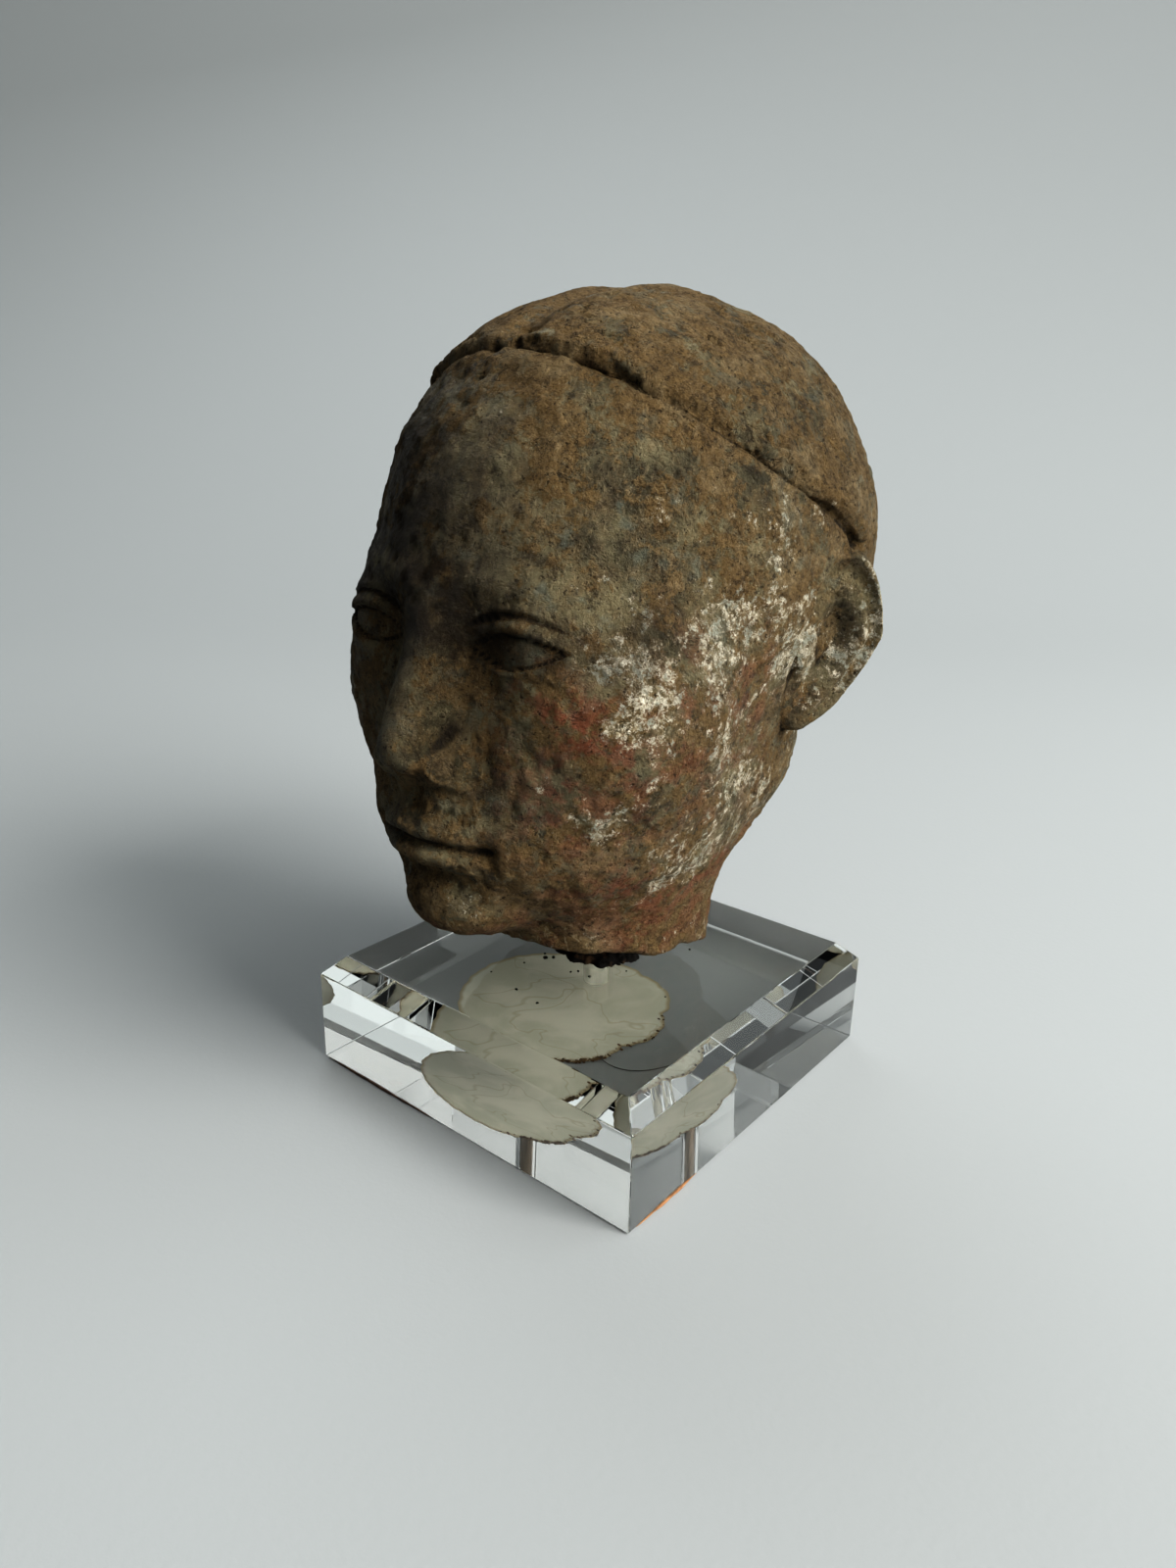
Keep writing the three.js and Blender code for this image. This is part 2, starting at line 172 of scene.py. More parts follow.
@dataclass(frozen=True)
class HeadForm:
    """The smooth form of the head, in shares of its height from the chin's underside to the crown."""

    height: float = 101 * MM
    chin_height: float = 40 * MM
    forward: float = 3 * MM
    axis_depth: float = 0.03
    front: tuple[float, float] = (0.2, 0.3)
    neck_break: float = -0.088
    chin_fold: float = 0.128
    mouth: float = 0.19
    nape_line: float = 0.25
    neck_top: float = 0.4
    eye_level: float = 0.5
    brow_level: float = 0.592
    skull_level: float = 0.62
    hairline: float = 0.835
    ear_bearing: float = 108.0
    nape_turn: float = 38.0
    hair_fall: float = 0.29
    hair_thickness: float = 0.019
    hair_foot: float = -0.004
    hair_rise: tuple[float, float] = (0.012, 0.08)
    groove_depth: float = 0.007
    groove_width: float = 0.008
    parting_depth: float = 0.012
    parting_width: float = 0.03
    skull: Lump = Lump((0, 0.099, 0.607), (0.382, 0.47, 0.388))
    face: Lump = Lump((0, -0.085, 0.37), (0.318, 0.312, 0.37), 0.1)
    jaw: Lump = Lump((0, -0.1, 0.19), (0.262, 0.3, 0.185), 0.1)
    nape: Lump = Lump((0, 0.1, 0.27), (0.295, 0.372, 0.29), 0.08)
    cheek: Lump = Lump((0.195, -0.19, 0.385), (0.13, 0.13, 0.13), 0.12)
    temple: Lump = Lump((0.43, -0.26, 0.62), (0.08, 0.17, 0.13), 0.12)
    muzzle: Lump = Lump((0, -0.262, 0.205), (0.155, 0.13, 0.115), 0.07)
    chin: Lump = Lump((0, -0.318, 0.068), (0.095, 0.085, 0.066), 0.06)
    socket: Lump = Lump((0.15, -0.43, 0.498), (0.104, 0.063, 0.053), 0.05)
    nose_wing: Lump = Lump((0.05, -0.405, 0.32), (0.034, 0.045, 0.03), 0.008)
    nostril: Lump = Lump((0.029, -0.45, 0.287), (0.015, 0.024, 0.014), 0.01)
    nose_bridge: Triple = (0, -0.338, 0.55)
    nose_tip: Triple = (0, -0.434, 0.345)
    nose_radii: tuple[float, float] = (0.045, 0.046)
    nose_fillet: float = 0.034
    neck_depth: float = -0.005
    neck_half_width: float = 0.228
    neck_half_depth: float = 0.24
    neck_spread: float = 0.2
    neck_fillet: float = 0.07
    eye_across: float = 0.148
    eye_half_width: float = 0.078
    eye_half_opening: float = 0.025
    eye_slant: float = 0.004
    eye_fillet: float = 0.025
    ball_depth: float = -0.281
    ball_radius: float = 0.088
    lid: float = 0.0115
    lid_edge: tuple[float, float] = (-0.004, 0.006)
    lid_crease: float = 0.007
    crease_rise: float = 0.05
    crease_fall: float = 0.02
    brow_height: float = 0.009
    brow_width: float = 0.026
    brow_drop: float = 0.014
    brow_arch: float = 0.022
    mouth_half_width: float = 0.102
    upper_lip: float = 0.018
    lower_lip: float = 0.021
    lip_crease: float = 0.014
    philtrum_depth: float = 0.006
    corner_depth: float = 0.008
    chin_fold_depth: float = 0.013

    def to_shares(self, points: Array) -> Array:
        """Return points of the part's frame, in metres, as shares of the head's height."""
        return (points - np.array([0.0, -self.forward, self.chin_height])) / self.height

    def to_metres(self, shares: Array) -> Array:
        """Return shares of the head's height as points of the part's frame, in metres."""
        return shares * self.height + np.array([0.0, -self.forward, self.chin_height])

    def bearing(self, x: Array, y: Array) -> Array:
        """Return the bearing from the front, in degrees, whichever the side."""
        return np.degrees(np.abs(np.arctan2(x, self.axis_depth - y)))

    def above_hairline(self, place: Place) -> tuple[Array, Array]:
        """Measure from the hair's edge.

        Args:
            place: Coordinates in shares of the head's height.

        Returns:
            How far above the edge each place is, and how far behind the ears, 0 to 1.
        """
        x, y, z = place
        climb = np.arctan2(z - self.skull_level, np.hypot(x, y - self.axis_depth)) / (math.pi / 2)
        level = np.where(z < self.skull_level, z, self.skull_level + (1 - self.skull_level) * climb)
        side = self.bearing(x, y)
        behind = smoothstep(side, self.ear_bearing, self.ear_bearing + self.nape_turn)
        half = np.radians(np.minimum(side, self.ear_bearing)) / 2
        edge = mix(self.hairline - self.hair_fall * np.sin(half) ** 2, self.nape_line, behind)
        return level - edge, behind

    def masses(self, place: Place) -> Array:
        """Join skull, face and neck, without features.

        Args:
            place: Coordinates in shares of the head's height, with X made positive.

        Returns:
            One distance for each place.
        """
        x, y, z = place
        d = self.skull.distance(place)
        for lump in (self.face, self.jaw, self.nape):
            d = lump.joined_to(d, place)
        widen = 1 + self.neck_spread * (z - self.neck_break)
        out = np.hypot(x / self.neck_half_width, (y - self.neck_depth) / self.neck_half_depth) / widen
        neck = np.maximum((out - 1) * self.neck_half_width, z - self.neck_top)
        d = self.cheek.joined_to(blend(d, neck, self.neck_fillet), place)
        return self.temple.cut_from(d, place)

    def eyes(self, d: Array, place: Place) -> Array:
        """Add sockets, eyeballs, lids and the crease above them.

        Args:
            d: Distances so far.
            place: Coordinates in shares of the head's height, with X made positive.

        Returns:
            One distance for each place.
        """
        x, y, z = place
        d = self.socket.cut_from(d, place)
        across = (x - self.eye_across) / self.eye_half_width
        ball = np.sqrt((x - self.eye_across) ** 2 + (y - self.ball_depth) ** 2 + (z - self.eye_level) ** 2)
        opening = self.eye_half_opening * (1 - across * across)
        gap = np.abs(z - self.eye_level - self.eye_slant * across) - opening
        lid = self.lid * smoothstep(gap, *self.lid_edge)
        d = blend(d, ball - self.ball_radius - lid, self.eye_fillet)
        arch = self.eye_level + self.crease_rise - self.crease_fall * across * across
        front = smoothstep(-y, *self.front)
        inside = smoothstep(1.25 - np.abs(across), 0.0, 0.5) * front
        rim = bump(gap, 0.0, 0.004) * smoothstep(1.15 - np.abs(across), 0.0, 0.3) * front
        return d + self.lid_crease * (bump(z, arch, 0.006) * inside + 0.6 * rim)

    def nose(self, d: Array, place: Place) -> Array:
        """Add the nose, its wings and nostrils.

        Args:
            d: Distances so far.
            place: Coordinates in shares of the head's height, with X made positive.

        Returns:
            One distance for each place.
        """
        start, end = np.array(self.nose_bridge), np.array(self.nose_tip)
        along = end - start
        offset = np.stack(place, -1) - start
        share = np.clip(offset @ along / (along @ along), 0.0, 1.0)
        reach = np.linalg.norm(offset - share[:, None] * along, axis=1)
        shape = self.nose_wing.joined_to(reach - mix(*self.nose_radii, share), place)
        return self.nostril.cut_from(blend(d, shape, self.nose_fillet), place)

    def folds(self, d: Array, place: Place) -> Array:
        """Raise brows and lips and sink the folds.

        Args:
            d: Distances so far.
            place: Coordinates in shares of the head's height, with X made positive.

        Returns:
            One distance for each place.
        """
        x, y, z = place
        brow_at = self.brow_level - self.brow_drop + self.brow_arch * bump(x, 0.165, 0.1)
        brow = self.brow_height * bump(z, brow_at, self.brow_width)
        brow = brow * smoothstep(x, -0.02, 0.12) * (1 - smoothstep(x, 0.2, 0.3))
        reach = x / self.mouth_half_width
        width = np.maximum(1 - reach * reach, 0.0)
        line = self.mouth + 0.004 * bump(x, 0.03, 0.03) - 0.003 * reach
        upper = self.upper_lip * bump(z, line + 0.02, 0.019) * width
        lower = self.lower_lip * bump(z, line - 0.023, 0.021) * width
        crease = self.lip_crease * bump(z, line, 0.008) * smoothstep(1.25 - reach, 0.0, 0.3)
        philtrum = self.philtrum_depth * bump(x, 0.0, 0.014) * bump(z, 0.25, 0.024)
        corner = self.corner_depth * bump(x, self.mouth_half_width + 0.012, 0.018) * bump(z, self.mouth, 0.02)
        chin_fold = self.chin_fold_depth * bump(z, self.chin_fold, 0.02) * bump(x, 0.0, 0.085)
        sunk = crease + philtrum + corner + chin_fold
        return d + smoothstep(-y, *self.front) * (sunk - brow - upper - lower)

    def hair(self, d: Array, place: Place) -> Array:
        """Add the raised hair, its groove and the parting.

        Args:
            d: Distances so far.
            place: Coordinates in shares of the head's height, with X made positive.

        Returns:
            One distance for each place.
        """
        x, _, z = place
        above, behind = self.above_hairline(place)
        cap = self.hair_thickness * smoothstep(above, self.hair_foot, mix(*self.hair_rise, behind))
        groove = self.groove_depth * bump(above, self.hair_foot, self.groove_width) * (1 - behind)
        on_top = smoothstep(z, 0.5, 0.75) * smoothstep(above, -0.01, 0.02)
        return d - cap + groove + self.parting_depth * bump(x, 0.0, self.parting_width) * on_top

    def distance(self, shares: Array) -> Array:
        """Measure to the head without its ears, in shares.

        Args:
            shares: Places in shares of the head's height, one row each.

        Returns:
            One distance for each place.
        """
        place = np.abs(shares[:, 0]), shares[:, 1], shares[:, 2]
        d = self.masses(place)
        d = self.muzzle.joined_to(d, place)
        d = self.chin.joined_to(d, place)
        for feature in (self.eyes, self.nose, self.folds, self.hair):
            d = feature(d, place)
        return d

    def settle(self, shares: Array, near: float, rounds: int = 5) -> Array:
        """Return the places drawn onto the smooth form, those that lie close to it.

        Args:
            shares: Places in shares of the head's height.
            near: Farthest distance at which a place is still drawn in fully.
            rounds: How many steps are made.

        Returns:
            The moved places.
        """
        step, longest, flattest = 5e-4, 0.01, 0.25
        start = self.distance(shares)
        pull = 1 - smoothstep(np.abs(start), near, 1.8 * near)
        moved = shares.copy()
        for _ in range(rounds):
            d = self.distance(moved)
            slope = np.stack(
                [(self.distance(moved + step * axis) - self.distance(moved - step * axis)) / (2 * step)
                 for axis in np.eye(3)],
                -1,
            )
            size = np.maximum((slope**2).sum(1), flattest)
            moved -= (np.clip(d, -longest, longest) * pull / size)[:, None] * slope
        return moved


@dataclass(frozen=True)
class EarForm:
    """The ears, in shares of the head's height."""

    across: float = 0.372
    depth: float = 0.175
    middle: float = 0.462
    half_height: float = 0.16
    half_width: float = 0.09
    flare: float = 26.0
    tuck: float = 0.04
    lean_back: float = 0.08
    lobe_narrowing: float = 0.25
    lobe_forward: float = 0.022
    rim: float = 0.018
    bowl: float = 0.026
    tragus: float = 0.018
    tragus_turn: float = math.radians(188)
    lobe: float = 0.01
    lobe_turn: float = math.radians(270)

    def local(self, shares: Array) -> tuple[Array, Array, Array]:
        """Measure from the ear's middle.

        Args:
            shares: Places in shares of the head's height, one row each.

        Returns:
            How far back, up and out each place lies.
        """
        flare = math.radians(self.flare)
        x, y = np.abs(shares[:, 0]), shares[:, 1]
        up = shares[:, 2] - self.middle
        for _ in range(3):
            tuck = self.tuck * np.maximum(-up, 0.0) / self.half_height
            across, deep = x + tuck - self.across, y - self.depth
            back = across * math.sin(flare) + deep * math.cos(flare)
            out = across * math.cos(flare) - deep * math.sin(flare)
            up = shares[:, 2] - self.middle - self.lean_back * back
        return back, up, out

    def polar(self, back: Array, up: Array) -> tuple[Array, Array]:
        """Find a place in the ear's plane.

        Args:
            back: How far back in the ear's plane each place is.
            up: How far up in the ear's plane each place is.

        Returns:
            Its bearing in radians and its share of the outline.
        """
        rise = up / self.half_height
        drop_side = np.minimum(rise, 0.0)
        share = np.hypot(back / self.half_width, rise)
        for _ in range(6):
            wide = self.half_width * (1 + self.lobe_narrowing * drop_side / np.maximum(share, 1e-3))
            run = (back - self.lobe_forward * drop_side) / wide
            share = np.hypot(run, rise)
        return np.arctan2(rise, run) % FULL_TURN, share

    def relief(self, turn: Array, share: Array) -> Array:
        """Find how far the ear's front stands out of its plane.

        Args:
            turn: Bearings in the ear's plane, in radians.
            share: Shares of the outline.

        Returns:
            One value for each place.
        """
        to_back = np.cos(turn)
        rim = self.rim * bump(share, 0.92, 0.1) * smoothstep(to_back + 0.9 * np.sin(turn), -0.75, 0.1)
        fold = 0.6 * self.rim * bump(share, 0.6, 0.11) * smoothstep(to_back, -0.35, 0.3)
        bowl = self.bowl * (1 - smoothstep(share, 0.18, 0.5))
        tragus = self.tragus * bump(share, 0.72, 0.16) * bump(turn, self.tragus_turn, 0.38)
        lobe = self.lobe * bump(turn, self.lobe_turn, 0.5) * bump(share, 0.8, 0.3)
        return rim + fold + tragus + lobe - bowl

    def drape(self, shares: Array, normals: Array) -> Array:
        """Move the ears' front faces onto their carved relief.

        Args:
            shares: Places in shares of the head's height, one row each.
            normals: Directions in which the points face.

        Returns:
            The moved places.
        """
        back, up, out = self.local(shares)
        turn, share = self.polar(back, up)
        flare = math.radians(self.flare)
        side = np.sign(shares[:, 0])
        facing = side * normals[:, 0] * math.cos(flare) - normals[:, 1] * math.sin(flare)
        weight = smoothstep(facing, 0.15, 0.45) * (1 - smoothstep(share, 0.9, 1.0))
        weight *= smoothstep(out, -0.05, -0.035)
        lift = (self.relief(turn, share) - out) * weight
        moved = shares.copy()
        moved[:, 0] += side * lift * math.cos(flare)
        moved[:, 1] -= lift * math.sin(flare)
        return moved


# Materials


@dataclass(frozen=True)
class Speckle:
    """Fractal noise, and the band of it in which one share turns into another."""

    scale: float
    detail: float
    rough: float
    low: float
    high: float
    least: float = 0.0
    most: float = 1.0


class Bench:
    """A workbench for one procedural material, with short calls for its nodes."""

    def __init__(self, name: str) -> None:
        """Start a material with a principled shader.

        Args:
            name: The material's name.
        """
        self.material = bpy.data.materials.new(name)
        self.material.use_nodes = True
        self.tree = self.material.node_tree
        self.shader = self.tree.nodes["Principled BSDF"]
        self.place = self.add("ShaderNodeTexCoord").outputs["Object"]

    def add(self, kind: str, **settings: Any) -> bpy.types.Node:
        """Add a node with its settings made.

        Args:
            kind: The node's type.
            settings: Its settings.

        Returns:
            The node.
        """
        node = self.tree.nodes.new(kind)
        for key, value in settings.items():
            setattr(node, key, value)
        return node

    def feed(self, socket: Socket, value: Any) -> None:
        """Link a socket into another, or set a plain value on it.

        Args:
            socket: The socket that is fed.
            value: A socket, or a plain value.
        """
        if isinstance(value, bpy.types.NodeSocket):
            self.tree.links.new(value, socket)
        else:
            socket.default_value = value

    def stretch(self, scale: Triple, turn: Triple = (0, 0, 0)) -> Socket:
        """Scale and turn the object's coordinates.

        Args:
            scale: Scale along X, Y and Z.
            turn: Turn about X, Y and Z, in radians.

        Returns:
            The new coordinates.
        """
        node = self.add("ShaderNodeMapping")
        self.feed(node.inputs["Vector"], self.place)
        node.inputs["Scale"].default_value = scale
        node.inputs["Rotation"].default_value = turn
        return node.outputs["Vector"]

    def noise(self, scale: float, detail: float = 4.0, rough: float = 0.6, warp: float = 0.0,
              place: Socket | None = None) -> Socket:
        """Make fractal noise.

        Args:
            scale: Features in a metre.
            detail: Number of finer layers.
            rough: Strength of the finer layers.
            warp: How far the noise is distorted.
            place: Coordinates, when not the object's own.

        Returns:
            The noise, 0 to 1.
        """
        node = self.add("ShaderNodeTexNoise")
        self.feed(node.inputs["Vector"], place or self.place)
        for key, value in (("Scale", scale), ("Detail", detail), ("Roughness", rough), ("Distortion", warp)):
            node.inputs[key].default_value = value
        return node.outputs["Fac"]

    def speckle(self, kind: Speckle, place: Socket | None = None) -> Socket:
        """Return a speckle's noise turned into shares."""
        fog = self.noise(kind.scale, kind.detail, kind.rough, place=place)
        return self.ramp(fog, kind.low, kind.high, kind.least, kind.most)

    def attribute(self, name: str) -> Socket:
        """Return a value that the mesh carries at its points."""
        return self.add("ShaderNodeAttribute", attribute_name=name).outputs["Fac"]

    def ramp(self, value: Any, low: float, high: float, to_low: float = 0.0, to_high: float = 1.0) -> Socket:
        """Map a value smoothly from one range to another, held at its ends.

        Args:
            value: A socket, or a plain value.
            low: Value that gives to_low.
            high: Value that gives to_high.
            to_low: Result at and below low.
            to_high: Result at and above high.

        Returns:
            The mapped value.
        """
        node = self.add("ShaderNodeMapRange", interpolation_type="SMOOTHSTEP")
        for socket, number in zip(node.inputs, (value, low, high, to_low, to_high)):
            self.feed(socket, number)
        return node.outputs["Result"]

    def math(self, kind: str, a: Any, b: Any) -> Socket:
        """Join two values by a kind of arithmetic.

        Args:
            kind: The arithmetic.
            a: The first one.
            b: The second one.

        Returns:
            The result.
        """
        node = self.add("ShaderNodeMath", operation=kind)
        self.feed(node.inputs[0], a)
        self.feed(node.inputs[1], b)
        return node.outputs[0]

    def times(self, a: Any, b: Any) -> Socket:
        """Return the product of two values."""
        return self.math("MULTIPLY", a, b)

    def less(self, a: Any, b: Any) -> Socket:
        """Return the first value less the second."""
        return self.math("SUBTRACT", a, b)

    def total(self, first: Socket, *others: tuple[Socket, float]) -> Socket:
        """Add up values with their weights.

        Args:
            first: The first value.
            others: Further values, each with its weight.

        Returns:
            The sum.
        """
        result = first
        for value, weight in others:
            result = self.math("ADD", result, self.times(value, weight))
        return result

    def veins(self, fog: Socket, width: float, most: float) -> Socket:
        """Return thin lines where a noise crosses its middle."""
        return self.ramp(self.math("ABSOLUTE", self.less(fog, 0.5), 0.0), 0.0, width, most, 0.0)

    def coats(self, base: Socket, *coats: tuple[Any, Any]) -> Socket:
        """Lay coats over a colour.

        Args:
            base: The colour below.
            coats: Shares and colours, from the lowest coat to the top one.

        Returns:
            The colour with its coats.
        """
        for share, colour in coats:
            base = self.mix(share, base, colour)
        return base

    def mix(self, share: Any, a: Any, b: Any) -> Socket:
        """Mix two colours by a share.

        Args:
            share: Share of the second colour.
            a: The first one.
            b: The second one.

        Returns:
            The mixed colour.
        """
        node = self.add("ShaderNodeMix", data_type="RGBA")
        self.feed(node.inputs[0], share)
        self.feed(node.inputs[6], a)
        self.feed(node.inputs[7], b)
        return node.outputs[2]

    def bump(self, height: Socket, distance: float) -> Socket:
        """Turn a height into a relief.

        Args:
            height: The relief, in shares of the distance.
            distance: How high a relief of 1 is, in metres.

        Returns:
            The relief's normal.
        """
        node = self.add("ShaderNodeBump")
        self.feed(node.inputs["Height"], height)
        node.inputs["Distance"].default_value = distance
        node.inputs["Strength"].default_value = 1.0
        return node.outputs["Normal"]

    def set(self, **values: Any) -> None:
        """Set or link the shader's sockets, named with underscores for spaces."""
        for key, value in values.items():
            self.feed(self.shader.inputs[key.replace("_", " ")], value)


@dataclass(frozen=True)
class PotteryFinish:
    """Olive-grey fired clay under brown soil, with flakes of white slip and traces of red, and painted shade
    in its creases and on the far half of the forehead.
    """

    clay_dark: Colour = (0.066, 0.055, 0.028, 1)
    clay_light: Colour = (0.24, 0.205, 0.115, 1)
    soil_dark: Colour = (0.028, 0.016, 0.005, 1)
    soil_mid: Colour = (0.205, 0.135, 0.057, 1)
    ochre: Colour = (0.33, 0.257, 0.147, 1)
    slip_dull: Colour = (0.4, 0.33, 0.21, 1)
    slip: Colour = (0.8, 0.74, 0.6, 1)
    slip_grey: Colour = (0.36, 0.37, 0.3, 1)
    red: Colour = (0.24, 0.075, 0.038, 1)
    blue_grey: Colour = (0.165, 0.18, 0.14, 1)
    crevice_shade: Colour = (0.01, 0.006, 0.002, 1)
    stroke_stretch: Triple = (1.0, 0.14, 0.3)
    stroke_turn: Triple = (0.5, 0.35, 0.6)
    groove_stretch: Triple = (0.35, 1.0, 0.8)
    groove_turn: Triple = (0.3, -0.5, 0.4)
    pale_clay: Speckle = Speckle(100, 8, 0.66, 0.36, 0.64)
    ochre_soil: Speckle = Speckle(120, 7, 0.66, 0.46, 0.66, 0.0, 0.5)
    thin_soil: Speckle = Speckle(190, 10, 0.74, 0.42, 0.62, 0.0, 0.6)
    strokes: Speckle = Speckle(1700, 3, 0.6, 0.56, 0.68)
    dust: Speckle = Speckle(1900, 5, 0.75, 0.62, 0.67, 0.0, 0.6)
    dark_spots: Speckle = Speckle(400, 9, 0.76, 0.48, 0.36, 0.0, 0.6)
    blue_spots: Speckle = Speckle(170, 6, 0.6, 0.56, 0.68, 0.0, 0.6)
    red_spots: Speckle = Speckle(240, 9, 0.72, 0.45, 0.57, 0.0, 0.85)
    cracked: Speckle = Speckle(240, 3, 0.5, 0.5, 0.56)
    slip_holes: Speckle = Speckle(1300, 6, 0.74, 0.44, 0.49)
    grey_slip: Speckle = Speckle(310, 6, 0.62, 0.47, 0.58, 0.0, 0.8)
    specks: Speckle = Speckle(1100, 5, 0.66, 0.59, 0.66, 0.0, 0.85)
    forehead_shade_and_soil: Speckle = Speckle(210, 9, 0.7, 0.4, 0.56, 0.35, 0.9)
    broad_ledges: Speckle = Speckle(300, 9, 0.7, 0.49, 0.53, 0.0, 1.1)
    small_ledges: Speckle = Speckle(720, 7, 0.7, 0.5, 0.54, 0.0, 0.7)
    grooves: Speckle = Speckle(560, 5, 0.62, 0.5, 0.4)
    relief_height: float = 0.75 * MM

    def ground(self, b: Bench) -> tuple[Socket, Socket]:
        """Mix the colours of clay and soil.

        Args:
            b: The workbench.

        Returns:
            The mixed colour, and where soil lies thick.
        """
        clouds, mottle, grit = b.noise(150, 9, 0.66), b.noise(560, 7, 0.72), b.noise(1700, 6, 0.78)
        clay = b.mix(b.speckle(self.pale_clay), self.clay_dark, self.clay_light)
        soil = b.mix(b.ramp(grit, 0.22, 0.56), self.soil_dark, self.soil_mid)
        soil = b.mix(b.ramp(mottle, 0.36, 0.52, 0.5, 0.0), soil, self.soil_dark)
        soil = b.mix(b.speckle(self.ochre_soil), soil, self.ochre)
        amount = b.total(b.attribute("crust"), (b.less(clouds, 0.5), 2.4), (b.less(mottle, 0.5), 2.0))
        thick_soil = b.ramp(amount, 0.34, 0.66)
        return b.mix(b.math("MAXIMUM", thick_soil, b.speckle(self.thin_soil)), clay, soil), thick_soil

    def flakes(self, b: Bench) -> tuple[Socket, Socket]:
        """Find where slip is left.

        Args:
            b: The workbench.

        Returns:
            Where thin flakes are, and where whole ones are.
        """
        lack, drift = b.less(b.attribute("slip"), 1.0), b.less(b.noise(110, 4, 0.55), 0.5)
        crumbs = b.total(b.noise(480, 12, 0.78), (lack, 0.34), (drift, 0.45))
        return b.ramp(crumbs, 0.42, 0.53), b.times(b.ramp(crumbs, 0.488, 0.512), b.speckle(self.slip_holes))

    def make(self) -> Material:
        """Make the material of the head.

        Returns:
            The material.
        """
        b = Bench("pottery")
        base, thick_soil = self.ground(b)
        thin, whole = self.flakes(b)
        fine, grain = b.noise(900, 9, 0.8), b.noise(3400, 3, 0.7)
        strokes = b.speckle(self.strokes, b.stretch(self.stroke_stretch, self.stroke_turn))
        grooves = b.speckle(self.grooves, b.stretch(self.groove_stretch, self.groove_turn))
        cracks = b.times(b.veins(b.noise(150, 7, 0.62, 0.6), 0.011, 1.0), b.speckle(self.cracked))
        specks = b.speckle(self.specks)
        paint = b.mix(b.ramp(fine, 0.4, 0.58), self.slip_dull, self.slip)
        paint = b.mix(b.speckle(self.grey_slip), paint, self.slip_grey)
        base = b.coats(
            base,
            (b.times(strokes, b.attribute("brushed")), self.ochre),
            (b.speckle(self.dust), self.slip_dull),
            (b.speckle(self.dark_spots), self.soil_dark),
            (b.times(b.attribute("blue"), b.speckle(self.blue_spots)), self.blue_grey),
            (b.times(b.attribute("red"), b.speckle(self.red_spots)), self.red),
            (b.times(cracks, 0.8), self.soil_dark),
            (b.times(thin, 0.4), self.slip_dull),
            (whole, paint),
            (b.times(specks, b.less(1.0, whole)), self.soil_dark),
            # Painted shade on the far half of the forehead, with dark soil at the brows, both in the dark
            # soil colour
            (b.times(b.attribute("forehead_shade_and_soil"), b.speckle(self.forehead_shade_and_soil)), self.soil_dark),
            # Painted shade: creases and recesses are darkened towards near black by how deep they lie
            (b.ramp(b.attribute("hollow"), 0.25, 1.0, 0.0, 0.85), self.crevice_shade),
        )
        relief = b.total(
            b.math("ADD", b.speckle(self.broad_ledges), b.speckle(self.small_ledges)),
            (grooves, -0.9), (fine, 3.4), (thick_soil, 0.5), (whole, 0.3),
            (specks, -0.5), (cracks, -0.9), (strokes, 0.3), (grain, 0.4),
        )
        shine = b.ramp(thick_soil, 0.1, 0.7, 0.6, 0.95)
        normal = b.bump(relief, self.relief_height)
        b.set(Base_Color=base, Roughness=shine, Specular_IOR_Level=0.3, Normal=normal)
        return b.material


@dataclass(frozen=True)
class ClearFinish:
    """Polished clear plastic."""

    ior: float = 1.49
    tint: Colour = (0.985, 0.988, 0.965, 1)

    def make(self) -> Material:
        """Make the material of the block.

        Returns:
            The material.
        """
        b = Bench("clear_plastic")
        b.set(Base_Color=self.tint, Roughness=0.0, IOR=self.ior, Transmission_Weight=1.0)
        return b.material


@dataclass(frozen=True)
class RodFinish:
    """Dull brownish metal, drawn along its length and stained."""

    metal: Colour = (0.34, 0.28, 0.22, 1)
    stain: Colour = (0.12, 0.08, 0.05, 1)

    def make(self) -> Material:
        """Make the material of the rod.

        Returns:
            The material.
        """
        b = Bench("rod_metal")
        streaks = b.noise(900, 4, 0.65, place=b.stretch((1, 1, 0.08)))
        base = b.mix(b.ramp(streaks, 0.35, 0.7), self.metal, self.stain)
        base = b.mix(b.ramp(b.noise(260, 4), 0.5, 0.7, 0.0, 0.6), base, self.stain)
        b.set(Base_Color=base, Metallic=0.75, Roughness=b.ramp(streaks, 0.3, 0.8, 0.35, 0.6),
              Normal=b.bump(streaks, 0.03 * MM))
        return b.material


@dataclass(frozen=True)
class PuttyFinish:
    """Nearly black crumbly putty with brown soil in it."""

    dark: Colour = (0.006, 0.005, 0.004, 1)
    brown: Colour = (0.06, 0.035, 0.018, 1)

    def make(self) -> Material:
        """Make the material of the wad and its crumbs.

        Returns:
            The material.
        """
        b = Bench("dark_putty")
        grain = b.noise(1500, 4, 0.7)
        base = b.mix(b.ramp(b.noise(500, 4, 0.6), 0.5, 0.7), self.dark, self.brown)
        b.set(Base_Color=base, Roughness=0.9, Specular_IOR_Level=0.25, Normal=b.bump(grain, 0.2 * MM))
        return b.material


